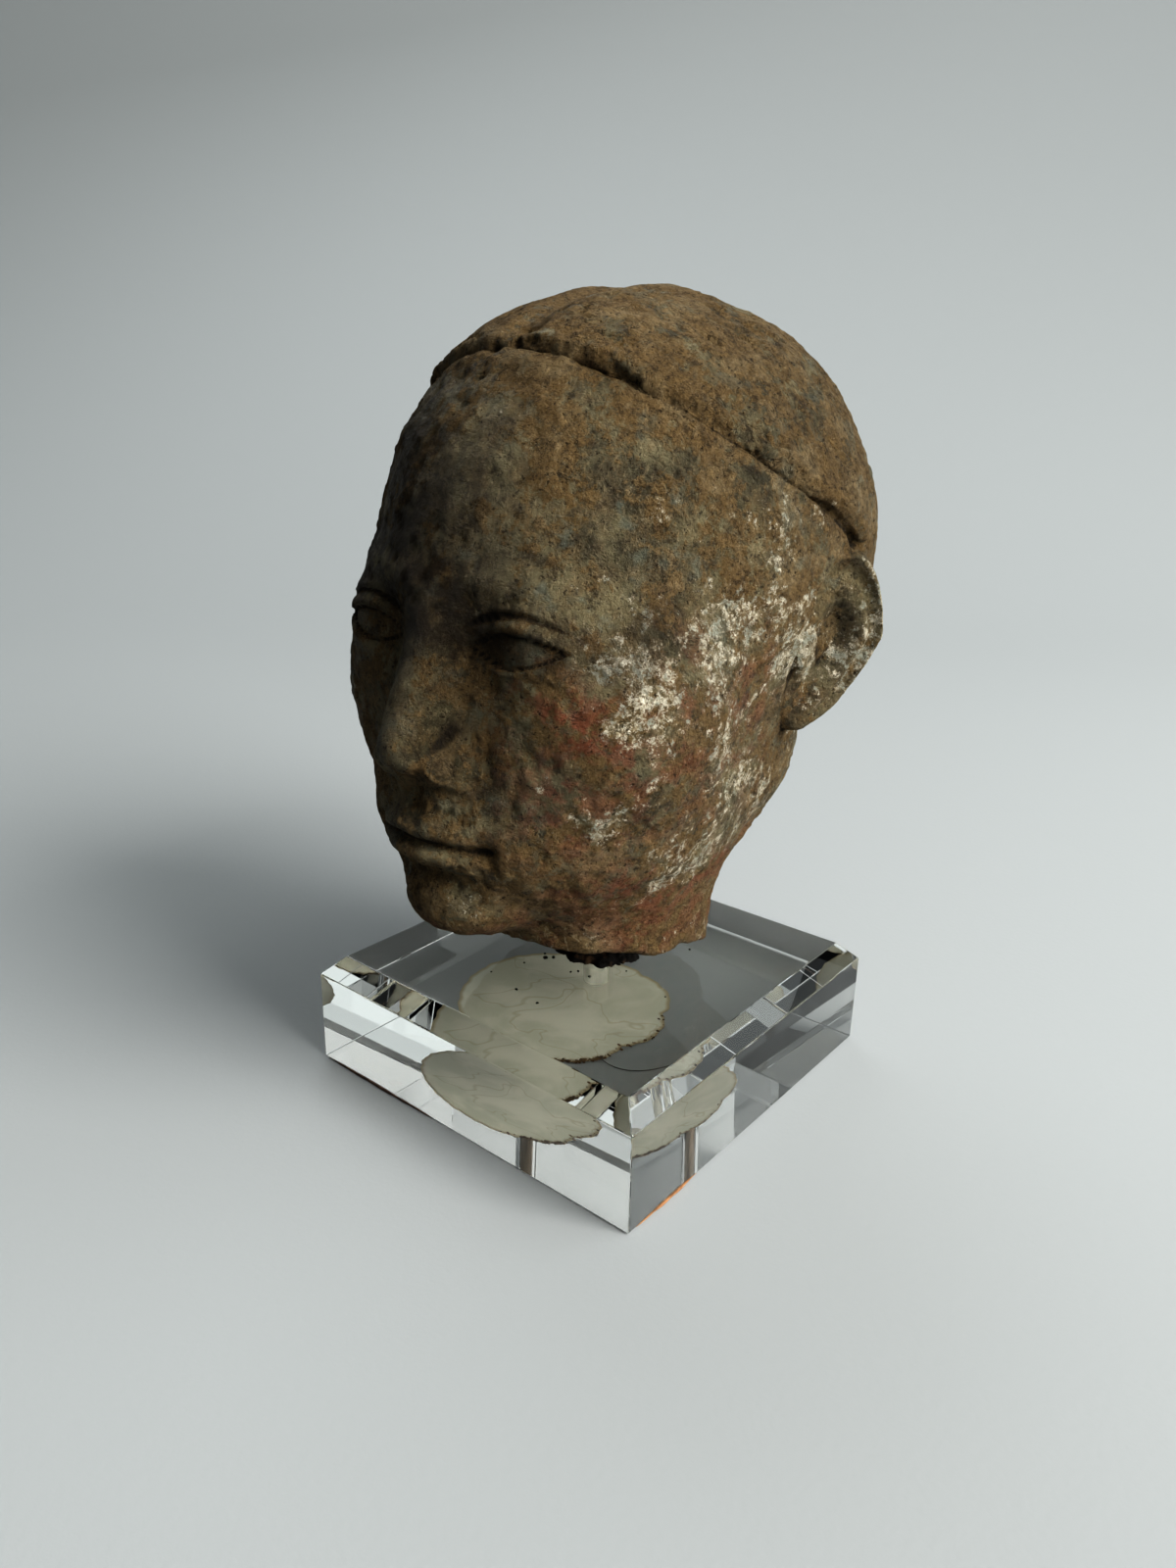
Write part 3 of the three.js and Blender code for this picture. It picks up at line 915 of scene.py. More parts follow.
@dataclass(frozen=True)
class StainFinish:
    """A dried cream film with a darker edge and brown specks."""

    film: Colour = (0.42, 0.415, 0.33, 1)
    thick: Colour = (0.51, 0.5, 0.41, 1)
    edge: Colour = (0.24, 0.185, 0.09, 1)
    specks: Colour = (0.12, 0.075, 0.03, 1)

    def make(self) -> Material:
        """Make the material of the film.

        Returns:
            The material.
        """
        b = Bench("cream_film")
        wavy = b.noise(70, 3, 0.5, 1.2)
        base = b.mix(b.ramp(wavy, 0.35, 0.65), self.film, self.thick)
        base = b.coats(
            base,
            (b.veins(b.noise(60, 2, 0.5, 0.8), 0.012, 0.3), self.edge),
            (b.ramp(b.attribute("rim"), 0.945, 0.995, 0.0, 0.75), self.edge),
            (b.times(b.attribute("dirt"), b.ramp(b.noise(1300, 3, 0.6), 0.46, 0.52)), self.specks),
        )
        b.set(Base_Color=base, Roughness=0.7)
        return b.material


@dataclass(frozen=True)
class PlainFinish:
    """A mottled finish of two tones, for small things."""

    name: str
    light: Colour
    dark: Colour
    scale: float = 600.0
    roughness: float = 0.8

    def make(self) -> Material:
        """Make the material.

        Returns:
            The material.
        """
        b = Bench(self.name)
        mottle = b.noise(self.scale, 4, 0.65)
        b.set(Base_Color=b.mix(b.ramp(mottle, 0.35, 0.65), self.dark, self.light), Roughness=self.roughness,
              Normal=b.bump(mottle, 0.05 * MM))
        return b.material


# Making and placing meshes


def deselect_all() -> None:
    """Leave no object selected, in object mode."""
    if bpy.context.object and bpy.context.object.mode != "OBJECT":
        bpy.ops.object.mode_set(mode="OBJECT")
    bpy.ops.object.select_all(action="DESELECT")


def choose(piece: Piece) -> None:
    """Make one object the only selected and the active one.

    Args:
        piece: The piece.
    """
    deselect_all()
    piece.select_set(True)
    bpy.context.view_layer.objects.active = piece


def apply_place(piece: Piece) -> None:
    """Move an object's place, turn and scale into its mesh."""
    choose(piece)
    bpy.ops.object.transform_apply(location=True, rotation=True, scale=True)


@contextmanager
def edit_mode(piece: Piece, action: str = "SELECT") -> Iterator[None]:
    """Hold a piece's mesh in edit mode, with all or nothing of it selected.

    Args:
        piece: The piece.
        action: SELECT or DESELECT.
    """
    choose(piece)
    bpy.ops.object.mode_set(mode="EDIT")
    bpy.ops.mesh.select_all(action=action)
    yield
    bpy.ops.object.mode_set(mode="OBJECT")


def edit_some(piece: Piece, parts: Any, wanted: list[bool], operator: Any, **settings: Any) -> None:
    """Run an edit operator on some of a mesh's edges or faces.

    Args:
        piece: The piece.
        parts: Its mesh's edges or faces.
        wanted: Whether each of them is selected.
        operator: The operator.
        settings: The operator's settings.
    """
    # Leaving edit mode at once keeps the mesh with nothing selected
    with edit_mode(piece, "DESELECT"):
        pass
    for part, chosen in zip(parts, wanted):
        part.select = chosen
    bpy.ops.object.mode_set(mode="EDIT")
    operator(**settings)
    bpy.ops.object.mode_set(mode="OBJECT")


def apply_modifier(piece: Piece, kind: str, **settings: Any) -> None:
    """Add a modifier with its settings and apply it.

    Args:
        piece: The piece.
        kind: The modifier's type.
        settings: Its settings.
    """
    choose(piece)
    modifier = piece.modifiers.new(kind.lower(), kind)
    for key, value in settings.items():
        setattr(modifier, key, value)
    bpy.ops.object.modifier_apply(modifier=modifier.name)


def round_edges(piece: Piece, width: float, sharper_than: float = 0.5) -> None:
    """Round a piece's edges that turn by more than an angle in radians."""
    apply_modifier(piece, "BEVEL", width=width, segments=2, limit_method="ANGLE", angle_limit=sharper_than)


def added(name: str) -> Piece:
    """Name the object that an operator has just added, and its mesh.

    Args:
        name: Its name.

    Returns:
        The object.
    """
    piece = bpy.context.active_object
    piece.name = name
    piece.data.name = name
    return piece


def add_shape(operator: Any, name: str, scale: Any = (1, 1, 1), turn: float = 0.0, **settings: Any) -> Piece:
    """Add a primitive whose size, turn and place are then moved into its mesh.

    Args:
        operator: The operator that adds it.
        name: Its name.
        scale: Its scale along X, Y and Z.
        turn: Its turn about Z, in radians.
        settings: The operator's settings.

    Returns:
        The new piece.
    """
    deselect_all()
    operator(**settings)
    piece = added(name)
    piece.scale = scale
    piece.rotation_euler = (0, 0, turn)
    apply_place(piece)
    return piece


def joined(parts: list[Piece], name: str) -> Piece:
    """Join parts into one piece.

    Args:
        parts: The parts.
        name: Its name.

    Returns:
        The joined piece.
    """
    deselect_all()
    for part in parts:
        part.select_set(True)
    bpy.context.view_layer.objects.active = parts[0]
    bpy.ops.object.join()
    return added(name)


def read_points(piece: Piece) -> Array:
    """Read the mesh's points.

    Args:
        piece: The piece.

    Returns:
        The points, one row each.
    """
    flat = np.empty(len(piece.data.vertices) * 3, np.float32)
    piece.data.vertices.foreach_get("co", flat)
    return flat.reshape(-1, 3).astype(float)


def read_normals(piece: Piece) -> Array:
    """Read the directions in which the mesh's points face.

    Args:
        piece: The piece.

    Returns:
        The directions, one row each.
    """
    flat = np.empty(len(piece.data.vertices) * 3, np.float32)
    piece.data.vertices.foreach_get("normal", flat)
    return flat.reshape(-1, 3).astype(float)


def write_points(piece: Piece, points: Array) -> None:
    """Move the mesh's points."""
    piece.data.vertices.foreach_set("co", points.astype(np.float32).ravel())
    piece.data.update()


def read_edges(piece: Piece) -> Array:
    """Read the pairs of points that the mesh's edges join.

    Args:
        piece: The piece.

    Returns:
        The pairs, one row each.
    """
    flat = np.empty(len(piece.data.edges) * 2, np.int32)
    piece.data.edges.foreach_get("vertices", flat)
    return flat.reshape(-1, 2)


def even_out(values: Array, edges: Array, rounds: int, share: Any = 0.6) -> Array:
    """Return values at points drawn towards those of their neighbours.

    Args:
        values: One row for each point.
        edges: Pairs of neighbouring points.
        rounds: How often it is done.
        share: How far each goes towards its neighbours' middle.

    Returns:
        The smoother values.
    """
    count = np.bincount(edges.ravel(), minlength=len(values)).reshape(-1, 1)
    smooth = values.reshape(len(values), -1).astype(float)
    for _ in range(rounds):
        total = np.stack(
            [np.bincount(edges[:, 0], smooth[edges[:, 1], i], len(smooth))
             + np.bincount(edges[:, 1], smooth[edges[:, 0], i], len(smooth)) for i in range(smooth.shape[1])],
            -1,
        )
        smooth = smooth + share * (total / np.maximum(count, 1) - smooth)
    return smooth.reshape(values.shape)


def carry(piece: Piece, name: str, values: Array) -> None:
    """Store one value for each point of a mesh."""
    layer = piece.data.attributes.new(name, "FLOAT", "POINT")
    layer.data.foreach_set("value", values.astype(np.float32))


def dress(piece: Piece, material: Material, slot: Slot, *nodes: str) -> None:
    """Give a piece its material and its body, and hide the solids that it stands for.

    Args:
        piece: The piece.
        material: Its material.
        slot: Not used.
        nodes: The solids that it stands for.
    """
    piece.data.materials.clear()
    piece.data.materials.append(material)
    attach(piece, Body.ROOT.value)
    if nodes:
        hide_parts(*nodes)
    LOG.info("%s: %d faces", piece.name, len(piece.data.polygons))


def copy_of(node: str, name: str) -> Piece:
    """Copy a solid's mesh, merged, as a new object.

    Args:
        node: The solid's name.
        name: Its name.

    Returns:
        The copy.
    """
    choose(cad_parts[node])
    bpy.ops.object.duplicate()
    piece = added(name)
    piece.parent = None
    for key in list(piece.keys()):
        del piece[key]
    with edit_mode(piece):
        bpy.ops.mesh.remove_doubles(threshold=1e-6)
    return piece


@dataclass
class PotteryHead:
    """The head with its ears, crust, slip and broken neck."""

    form: HeadForm = field(default_factory=HeadForm)
    ear: EarForm = field(default_factory=EarForm)
    finish: PotteryFinish = field(default_factory=PotteryFinish)
    voxel: float = 0.8 * MM
    crust_height: float = 0.22 * MM
    clods: float = 0.17 * MM
    swells: float = 0.5 * MM
    ripples: float = 0.22 * MM
    pit_depth: float = 0.3 * MM
    stroke_depth: float = 0.25 * MM
    hair_stroke_depth: float = 0.45 * MM
    crack_depth: float = 0.75 * MM
    fill_height: float = 0.95 * MM

    def build(self) -> Piece:
        """Build the head.

        Returns:
            The finished head.
        """
        piece = copy_of("pottery_head", "weathered_head")
        apply_modifier(piece, "REMESH", mode="VOXEL", voxel_size=self.voxel)
        self.refine(piece)
        edges = read_edges(piece)
        shares = self.smooth_form(piece, edges)
        write_points(piece, self.form.to_metres(shares))
        self.weather(piece, shares, edges)
        choose(piece)
        bpy.ops.object.shade_smooth()
        dress(piece, self.finish.make(), Slot.POTTERY, "pottery_head")
        return piece

    def refine(self, piece: Piece) -> None:
        """Split the faces at the eyes, the nose, the mouth, the ears and the hair's edge.

        Args:
            piece: The piece.
        """
        form = self.form
        x, y, z = place = form.to_shares(read_points(piece)).T
        above, behind = form.above_hairline(place)
        across, front = np.abs(x), y < -0.24
        eye = front & (across > 0.05) & (across < 0.25) & (np.abs(z - form.eye_level - 0.01) < 0.065)
        mouth_and_nose = front & (across < 0.13) & (z > 0.12) & (z < 0.37)
        hair_edge = (np.abs(above) < 0.016) & (behind < 0.2)
        ear = (across > 0.36) & (np.abs(z - 0.46) < 0.19) & (y > 0.05) & (y < 0.28)
        fine = eye | mouth_and_nose | hair_edge | ear
        faces = piece.data.polygons
        wanted = [all(fine[i] for i in face.vertices) for face in faces]
        edit_some(piece, faces, wanted, bpy.ops.mesh.subdivide, number_cuts=1)

    def smooth_form(self, piece: Piece, edges: Array) -> Array:
        """Draw the remeshed points onto the smooth form and the ears' relief.

        Args:
            piece: The piece.
            edges: Pairs of neighbouring points.

        Returns:
            The moved points, in shares of the head's height.
        """
        form = self.form
        shares = form.to_shares(even_out(read_points(piece), edges, 2))
        normals = read_normals(piece)
        underside = (normals[:, 2] < -0.45) & (shares[:, 2] < form.neck_break + 0.06)
        rod_socket = np.hypot(shares[:, 0], shares[:, 1] - form.axis_depth) < 0.04
        free = ~(underside | rod_socket)
        shares[free] = form.settle(shares[free], 0.012)
        off_skin = smoothstep(np.abs(form.distance(shares)), 0.006, 0.014) * (~underside)
        smoothed = even_out(shares, edges, 6, 0.5 * off_skin[:, None])
        draped = self.ear.drape(smoothed, normals)
        near_ear = np.abs(shares[:, 0]) > 0.3
        return np.where(near_ear[:, None], draped, smoothed)

    def weather(self, piece: Piece, shares: Array, edges: Array) -> None:
        """Raise the crust, sink the pits and store where soil, slip and pigments lie, and how deep each
        hollow is for painted shade.

        Args:
            piece: The piece.
            shares: Places in shares of the head's height, one row each.
            edges: Pairs of neighbouring points.
        """
        form = self.form
        x, y, z = shares.T
        points, normals = read_points(piece), read_normals(piece)
        above, behind = form.above_hairline((x, y, z))
        wide, tight = even_out(points, edges, 14), even_out(points, edges, 4)
        sunk = ((wide - points) * normals).sum(1) / MM
        sunk_fine = ((tight - points) * normals).sum(1) / MM
        hollow = np.clip(0.8 * sunk + 3.2 * sunk_fine, 0.0, 1.0)
        patches, lumps = noise_at(points, 95.0, 4, 3.0), noise_at(points, 480.0, 3, 11.0)
        bare_brow = smoothstep(-y, 0.22, 0.36) * bump(z, 0.66, 0.2)
        bare = bare_brow + bump(z, 0.36, 0.1) * smoothstep(-y, 0.34, 0.42)
        dusty = 0.2 * smoothstep(above, -0.06, 0.02) + 0.4 * (1 - smoothstep(z, 0.0, 0.16)) + 0.8 * hollow
        crust = np.clip(0.52 + 0.55 * patches + dusty - 0.3 * bare, 0.0, 1.0)
        caked = smoothstep(-y, 0.12, 0.3) * (1 - smoothstep(x, 0.08, 0.24))
        lift = self.lumps(points, crust, lumps) - self.gouges(points, above, behind, caked)
        on_ear = smoothstep(np.abs(form.distance(shares)), 0.004, 0.012) * (np.abs(x) > 0.3)
        eyes = bump(np.abs(x), form.eye_across, 0.1) * bump(z, form.eye_level, 0.07)
        mouth = bump(x, 0.0, 0.1) * bump(z, form.mouth, 0.04) * smoothstep(-y, *form.front)
        features = np.maximum(eyes * smoothstep(-y, 0.15, 0.25), mouth)
        kept = 1 - 0.75 * np.maximum(on_ear, features)
        write_points(piece, points + (lift * kept)[:, None] * normals)
        carry(piece, "crust", crust * (1 - 0.5 * on_ear))
        # hollow gives thicker soil and also the painted shade in creases and recesses
        carry(piece, "hollow", hollow * (1 - 0.8 * on_ear) * (1 - 0.6 * caked * smoothstep(z, 0.7, 0.76)))
        self.pigments(piece, shares, above)

    def lumps(self, points: Array, crust: Array, lumps: Array) -> Array:
        """Find how far soil and the worn clay stand up.

        Args:
            points: The mesh's points in metres, one row each.
            crust: How much soil each point has.
            lumps: Fine noise at each point.

        Returns:
            One height in metres for each point.
        """
        lift = self.crust_height * (smoothstep(crust + 0.5 * lumps, 0.3, 0.9) - 0.5) + self.clods * lumps
        lift = lift + self.swells * noise_at(points, 58.0, 3, 5.0)
        return lift + self.ripples * noise_at(points, 190.0, 3, 8.0)

    def gouges(self, points: Array, above: Array, behind: Array, caked: Array) -> Array:
        """Find how deep pits, short strokes and the ragged crack below the hair are.

        Args:
            points: The mesh's points in metres, one row each.
            above: How far above the hair's edge each point is.
            behind: How far behind the ears each point is, 0 to 1.
            caked: Where soil fills the step below the hair, 0 to 1.

        Returns:
            One depth in metres for each point.
        """
        pits = rare(noise_at(points, 400.0, 2, 29.0), 0.07)
        slanted = points @ np.array([[1.0, 0.0, 0.0], [0.0, 1.0, 0.0], [0.55, 0.45, 0.3]])
        strokes = rare(noise_at(slanted, 260.0, 3, 17.0), 0.06)
        wander = noise_at(points, 150.0, 3, 41.0)
        broken = smoothstep(noise_at(points, 90.0, 2, 47.0), -0.5, 0.1)
        crack = bump(above + 0.005 * wander, -0.002, 0.003) * (1 - behind) * broken
        filled = bump(above, -0.005, 0.009) * (1 - behind) * (0.6 + 0.5 * wander)
        filled = filled + 1.5 * caked * bump(above, -0.014, 0.015) * (0.85 + 0.3 * wander)
        stroke_depth = self.stroke_depth + self.hair_stroke_depth * smoothstep(above, -0.01, 0.02)
        sunk = self.pit_depth * pits + stroke_depth * strokes + self.crack_depth * crack
        return sunk - self.fill_height * filled

    def pigments(self, piece: Piece, shares: Array, above: Array) -> None:
        """Store where white slip, red, bluish grey and brushed ochre are left, and where the far half of the
        forehead gets painted shade and the brows dark soil.

        Args:
            piece: The piece.
            shares: Places in shares of the head's height, one row each.
            above: How far above the hair's edge each point is.
        """
        x, y, z = shares.T
        drift = noise_at(shares, 5.5, 3, 61.0)
        z = z + 0.12 * drift
        y = y + 0.1 * noise_at(shares, 6.0, 3, 67.0)
        left = smoothstep(x, 0.02, 0.16)
        front = smoothstep(-y, 0.1, 0.28)
        slip_left = {
            "cheek": left * bump(z, 0.44, 0.22) * smoothstep(y, -0.46, -0.3) * (1 - smoothstep(y, 0.1, 0.35)),
            "jaw": 0.8 * left * bump(z, 0.3, 0.2) * smoothstep(y, -0.3, -0.1),
            "under_jaw": 0.9 * left * bump(z, 0.16, 0.15) * smoothstep(y, -0.38, -0.2),
            "chin": 0.85 * bump(x, 0.07, 0.1) * bump(z, 0.08, 0.07) * smoothstep(-y, 0.1, 0.3),
            "temple": 0.72 * left * bump(z, 0.67, 0.13) * smoothstep(y, -0.42, -0.2),
            "far_cheek": 0.55 * smoothstep(-x, 0.05, 0.2) * bump(z, 0.42, 0.2),
            "neck": 0.7 * bump(z, -0.06, 0.05) * smoothstep(x, -0.1, 0.1),
            "ear": 1.05 * smoothstep(x, 0.37, 0.41) * bump(z, 0.48, 0.22),
        }
        slip = np.maximum.reduce(list(slip_left.values()))
        slip = np.maximum(slip + 0.25 * drift, 0.34) - 0.28 * smoothstep(above, -0.01, 0.03)
        red = bump(x, 0.26, 0.11) * bump(z, 0.38, 0.12) + 0.8 * bump(x, 0.26, 0.1) * bump(z, 0.08, 0.08)
        red *= 1 - smoothstep(y, 0.0, 0.2)
        red = red + 0.4 * bump(z, -0.03, 0.05) + 0.35 * bump(x, -0.28, 0.1) * bump(z, 0.36, 0.12)
        blue = 0.5 + bump(x, 0.22, 0.16) * bump(z, 0.58, 0.16)
        brushed = 0.35 + 0.65 * (1 - smoothstep(z, -0.03, 0.08))
        # Painted shade: the far half of the forehead, turned from the light, is darkened; the band at the
        # brows is dark soil
        forehead_shade_and_soil = front * (1 - smoothstep(x, 0.0, 0.2)) * bump(z, 0.66, 0.17)
        forehead_shade_and_soil = forehead_shade_and_soil + 0.7 * front * bump(z, 0.545, 0.05)
        marks = {"slip": slip, "red": red, "blue": blue, "brushed": brushed, "forehead_shade_and_soil": forehead_shade_and_soil}
        for name, values in marks.items():
            carry(piece, name, np.clip(values, 0.0, 1.0))


@dataclass
class ClearBlock:
    """The clear block and what is sealed in it."""

    bevel: float = 3.7 * MM
    arris: float = 0.18 * MM
    rod_width: float = 4.8 * MM
    hole_gap: float = 0.15 * MM
    glue_depth: float = 0.3 * MM
    glue_rounding: float = 0.08 * MM
    finish: ClearFinish = field(default_factory=ClearFinish)

    def build(self) -> Piece:
        """Build the block.

        Returns:
            The finished block.
        """
        low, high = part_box("clear_block")
        cube, middle = bpy.ops.mesh.primitive_cube_add, (low + high) / 2
        piece = add_shape(cube, "bevelled_clear_block", high - low, size=1.0, location=middle)
        points, edges = piece.data.vertices, piece.data.edges
        on_top = [all(points[i].co.z > high.z - self.arris for i in edge.vertices) for edge in edges]
        edit_some(piece, edges, on_top, bpy.ops.mesh.bevel, offset=self.bevel, segments=1, affect="EDGES")
        round_edges(piece, self.arris)
        self.drill(piece, high.z)
        choose(piece)
        bpy.ops.object.shade_flat()
        dress(piece, self.finish.make(), Slot.CLEAR, "clear_block")
        return piece

    def drill(self, piece: Piece, top: float) -> None:
        """Cut the hole in which the rod stands with a little air round it.

        Args:
            piece: The piece.
            top: Height of the block's top.
        """
        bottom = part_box("mounting_rod")[0].z - self.hole_gap
        cutter = add_shape(
            bpy.ops.mesh.primitive_cylinder_add, "hole_cutter", vertices=96,
            radius=self.rod_width / 2 + self.hole_gap, depth=top + MM - bottom,
            location=(0, 0, (top + MM + bottom) / 2),
        )
        apply_modifier(piece, "BOOLEAN", operation="DIFFERENCE", solver="EXACT", object=cutter)
        bpy.data.objects.remove(cutter, do_unlink=True)

    def seal_glue(self, rod_bottom: float) -> Piece:
        """Add the drop of tan glue under the rod's lower end.

        Args:
            rod_bottom: Height of the rod's lower end.

        Returns:
            The glue.
        """
        piece = add_shape(
            bpy.ops.mesh.primitive_cylinder_add, "glue_under_rod", vertices=48, radius=self.rod_width / 2,
            depth=self.glue_depth, location=(0, 0, rod_bottom - self.glue_depth * 0.5),
        )
        round_edges(piece, self.glue_rounding)
        finish = PlainFinish("tan_glue", (0.72, 0.55, 0.42, 1), (0.5, 0.34, 0.24, 1), 900.0, 0.6)
        dress(piece, finish.make(), Slot.PUTTY)
        return piece


@dataclass
class MountingRod:
    """The round metal rod."""

    chamfer: float = 0.5 * MM
    sides: int = 72
    finish: RodFinish = field(default_factory=RodFinish)

    def build(self) -> Piece:
        """Build the rod.

        Returns:
            The finished rod.
        """
        low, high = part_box("mounting_rod")
        piece = add_shape(
            bpy.ops.mesh.primitive_cylinder_add, "drawn_metal_rod", vertices=self.sides,
            radius=(high.x - low.x) / 2, depth=high.z - low.z, location=(low + high) / 2,
        )
        round_edges(piece, self.chamfer, 1.0)
        choose(piece)
        bpy.ops.object.shade_smooth_by_angle(angle=math.radians(30))
        dress(piece, self.finish.make(), Slot.METAL, "mounting_rod")
        return piece


@dataclass
class DarkWad:
    """The crumbly wad round the rod, and the crumbs that fell from it."""

    voxel: float = 0.22 * MM
    roughness: float = 0.55 * MM
    sinking: float = 0.28 * MM
    widest_turn: float = 6.28
    crumb_places: tuple[Triple, ...] = (
        (5.0, -23.0, 0.5), (3.1, -9.3, 0.5), (5.9, -9.5, 0.55), (-6.8, -13.6, 0.4), (-9.1, -20.3, 0.35),
        (9.4, 5.4, 0.6), (-1.0, -22.0, 0.55), (-4.9, -9.6, 0.9), (-3.9, -8.4, 0.7), (7.2, -2.2, 0.8),
        (8.3, 0.2, 0.6), (-6.2, -8.3, 0.5), (2.2, -10.4, 0.4), (9.9, -3.2, 0.35), (-12.0, 4.0, 0.5),
        (14.0, 12.0, 0.45), (-8.0, 15.0, 0.4), (21.0, -6.0, 0.3),
    )
    finish: PuttyFinish = field(default_factory=PuttyFinish)

    def build(self) -> Piece:
        """Build the wad.

        Returns:
            The finished wad.
        """
        piece = copy_of("dark_wad", "crumbly_dark_wad")
        apply_modifier(piece, "REMESH", mode="VOXEL", voxel_size=self.voxel)
        points, normals = read_points(piece), read_normals(piece)
        off_rod = smoothstep(np.hypot(points[:, 0], points[:, 1]), 2.9 * MM, 4.0 * MM)
        lift = noise_at(points, 520.0, 4, 2.0) * self.roughness * off_rod
        moved = points + lift[:, None] * normals
        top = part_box("clear_block")[1].z
        moved[:, 2] = np.maximum(moved[:, 2] - self.sinking, top + 0.02 * MM)
        write_points(piece, moved)
        choose(piece)
        bpy.ops.object.shade_smooth()
        dress(piece, self.finish.make(), Slot.PUTTY, "dark_wad")
        return piece

    def scatter_crumbs(self) -> Piece:
        """Scatter the loose crumbs on the block.

        Returns:
            The crumbs, as one piece.
        """
        dice = random.Random(7)
        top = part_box("clear_block")[1].z
        crumbs = []
        for across, deep, width in self.crumb_places:
            scale = (1.0 + 0.5 * dice.random(), 0.8 + 0.3 * dice.random(), 0.7)
            turn = self.widest_turn * dice.random()
            crumb = add_shape(
                bpy.ops.mesh.primitive_ico_sphere_add, "crumb", scale, turn, subdivisions=2,
                radius=width / 2 * MM, location=(across * MM, deep * MM, top + width * 0.3 * MM),
            )
            points = read_points(crumb)
            centre = points.mean(0)
            rough = 1 + 0.35 * noise_at(points, 2200.0, 2, across)
            write_points(crumb, centre + (points - centre) * rough[:, None])
            crumbs.append(crumb)
        piece = joined(crumbs, "loose_crumbs")
        points = read_points(piece)
        points[:, 2] = np.maximum(points[:, 2], top + 0.01 * MM)
        write_points(piece, points)
        dress(piece, self.finish.make(), Slot.PUTTY)
        return piece


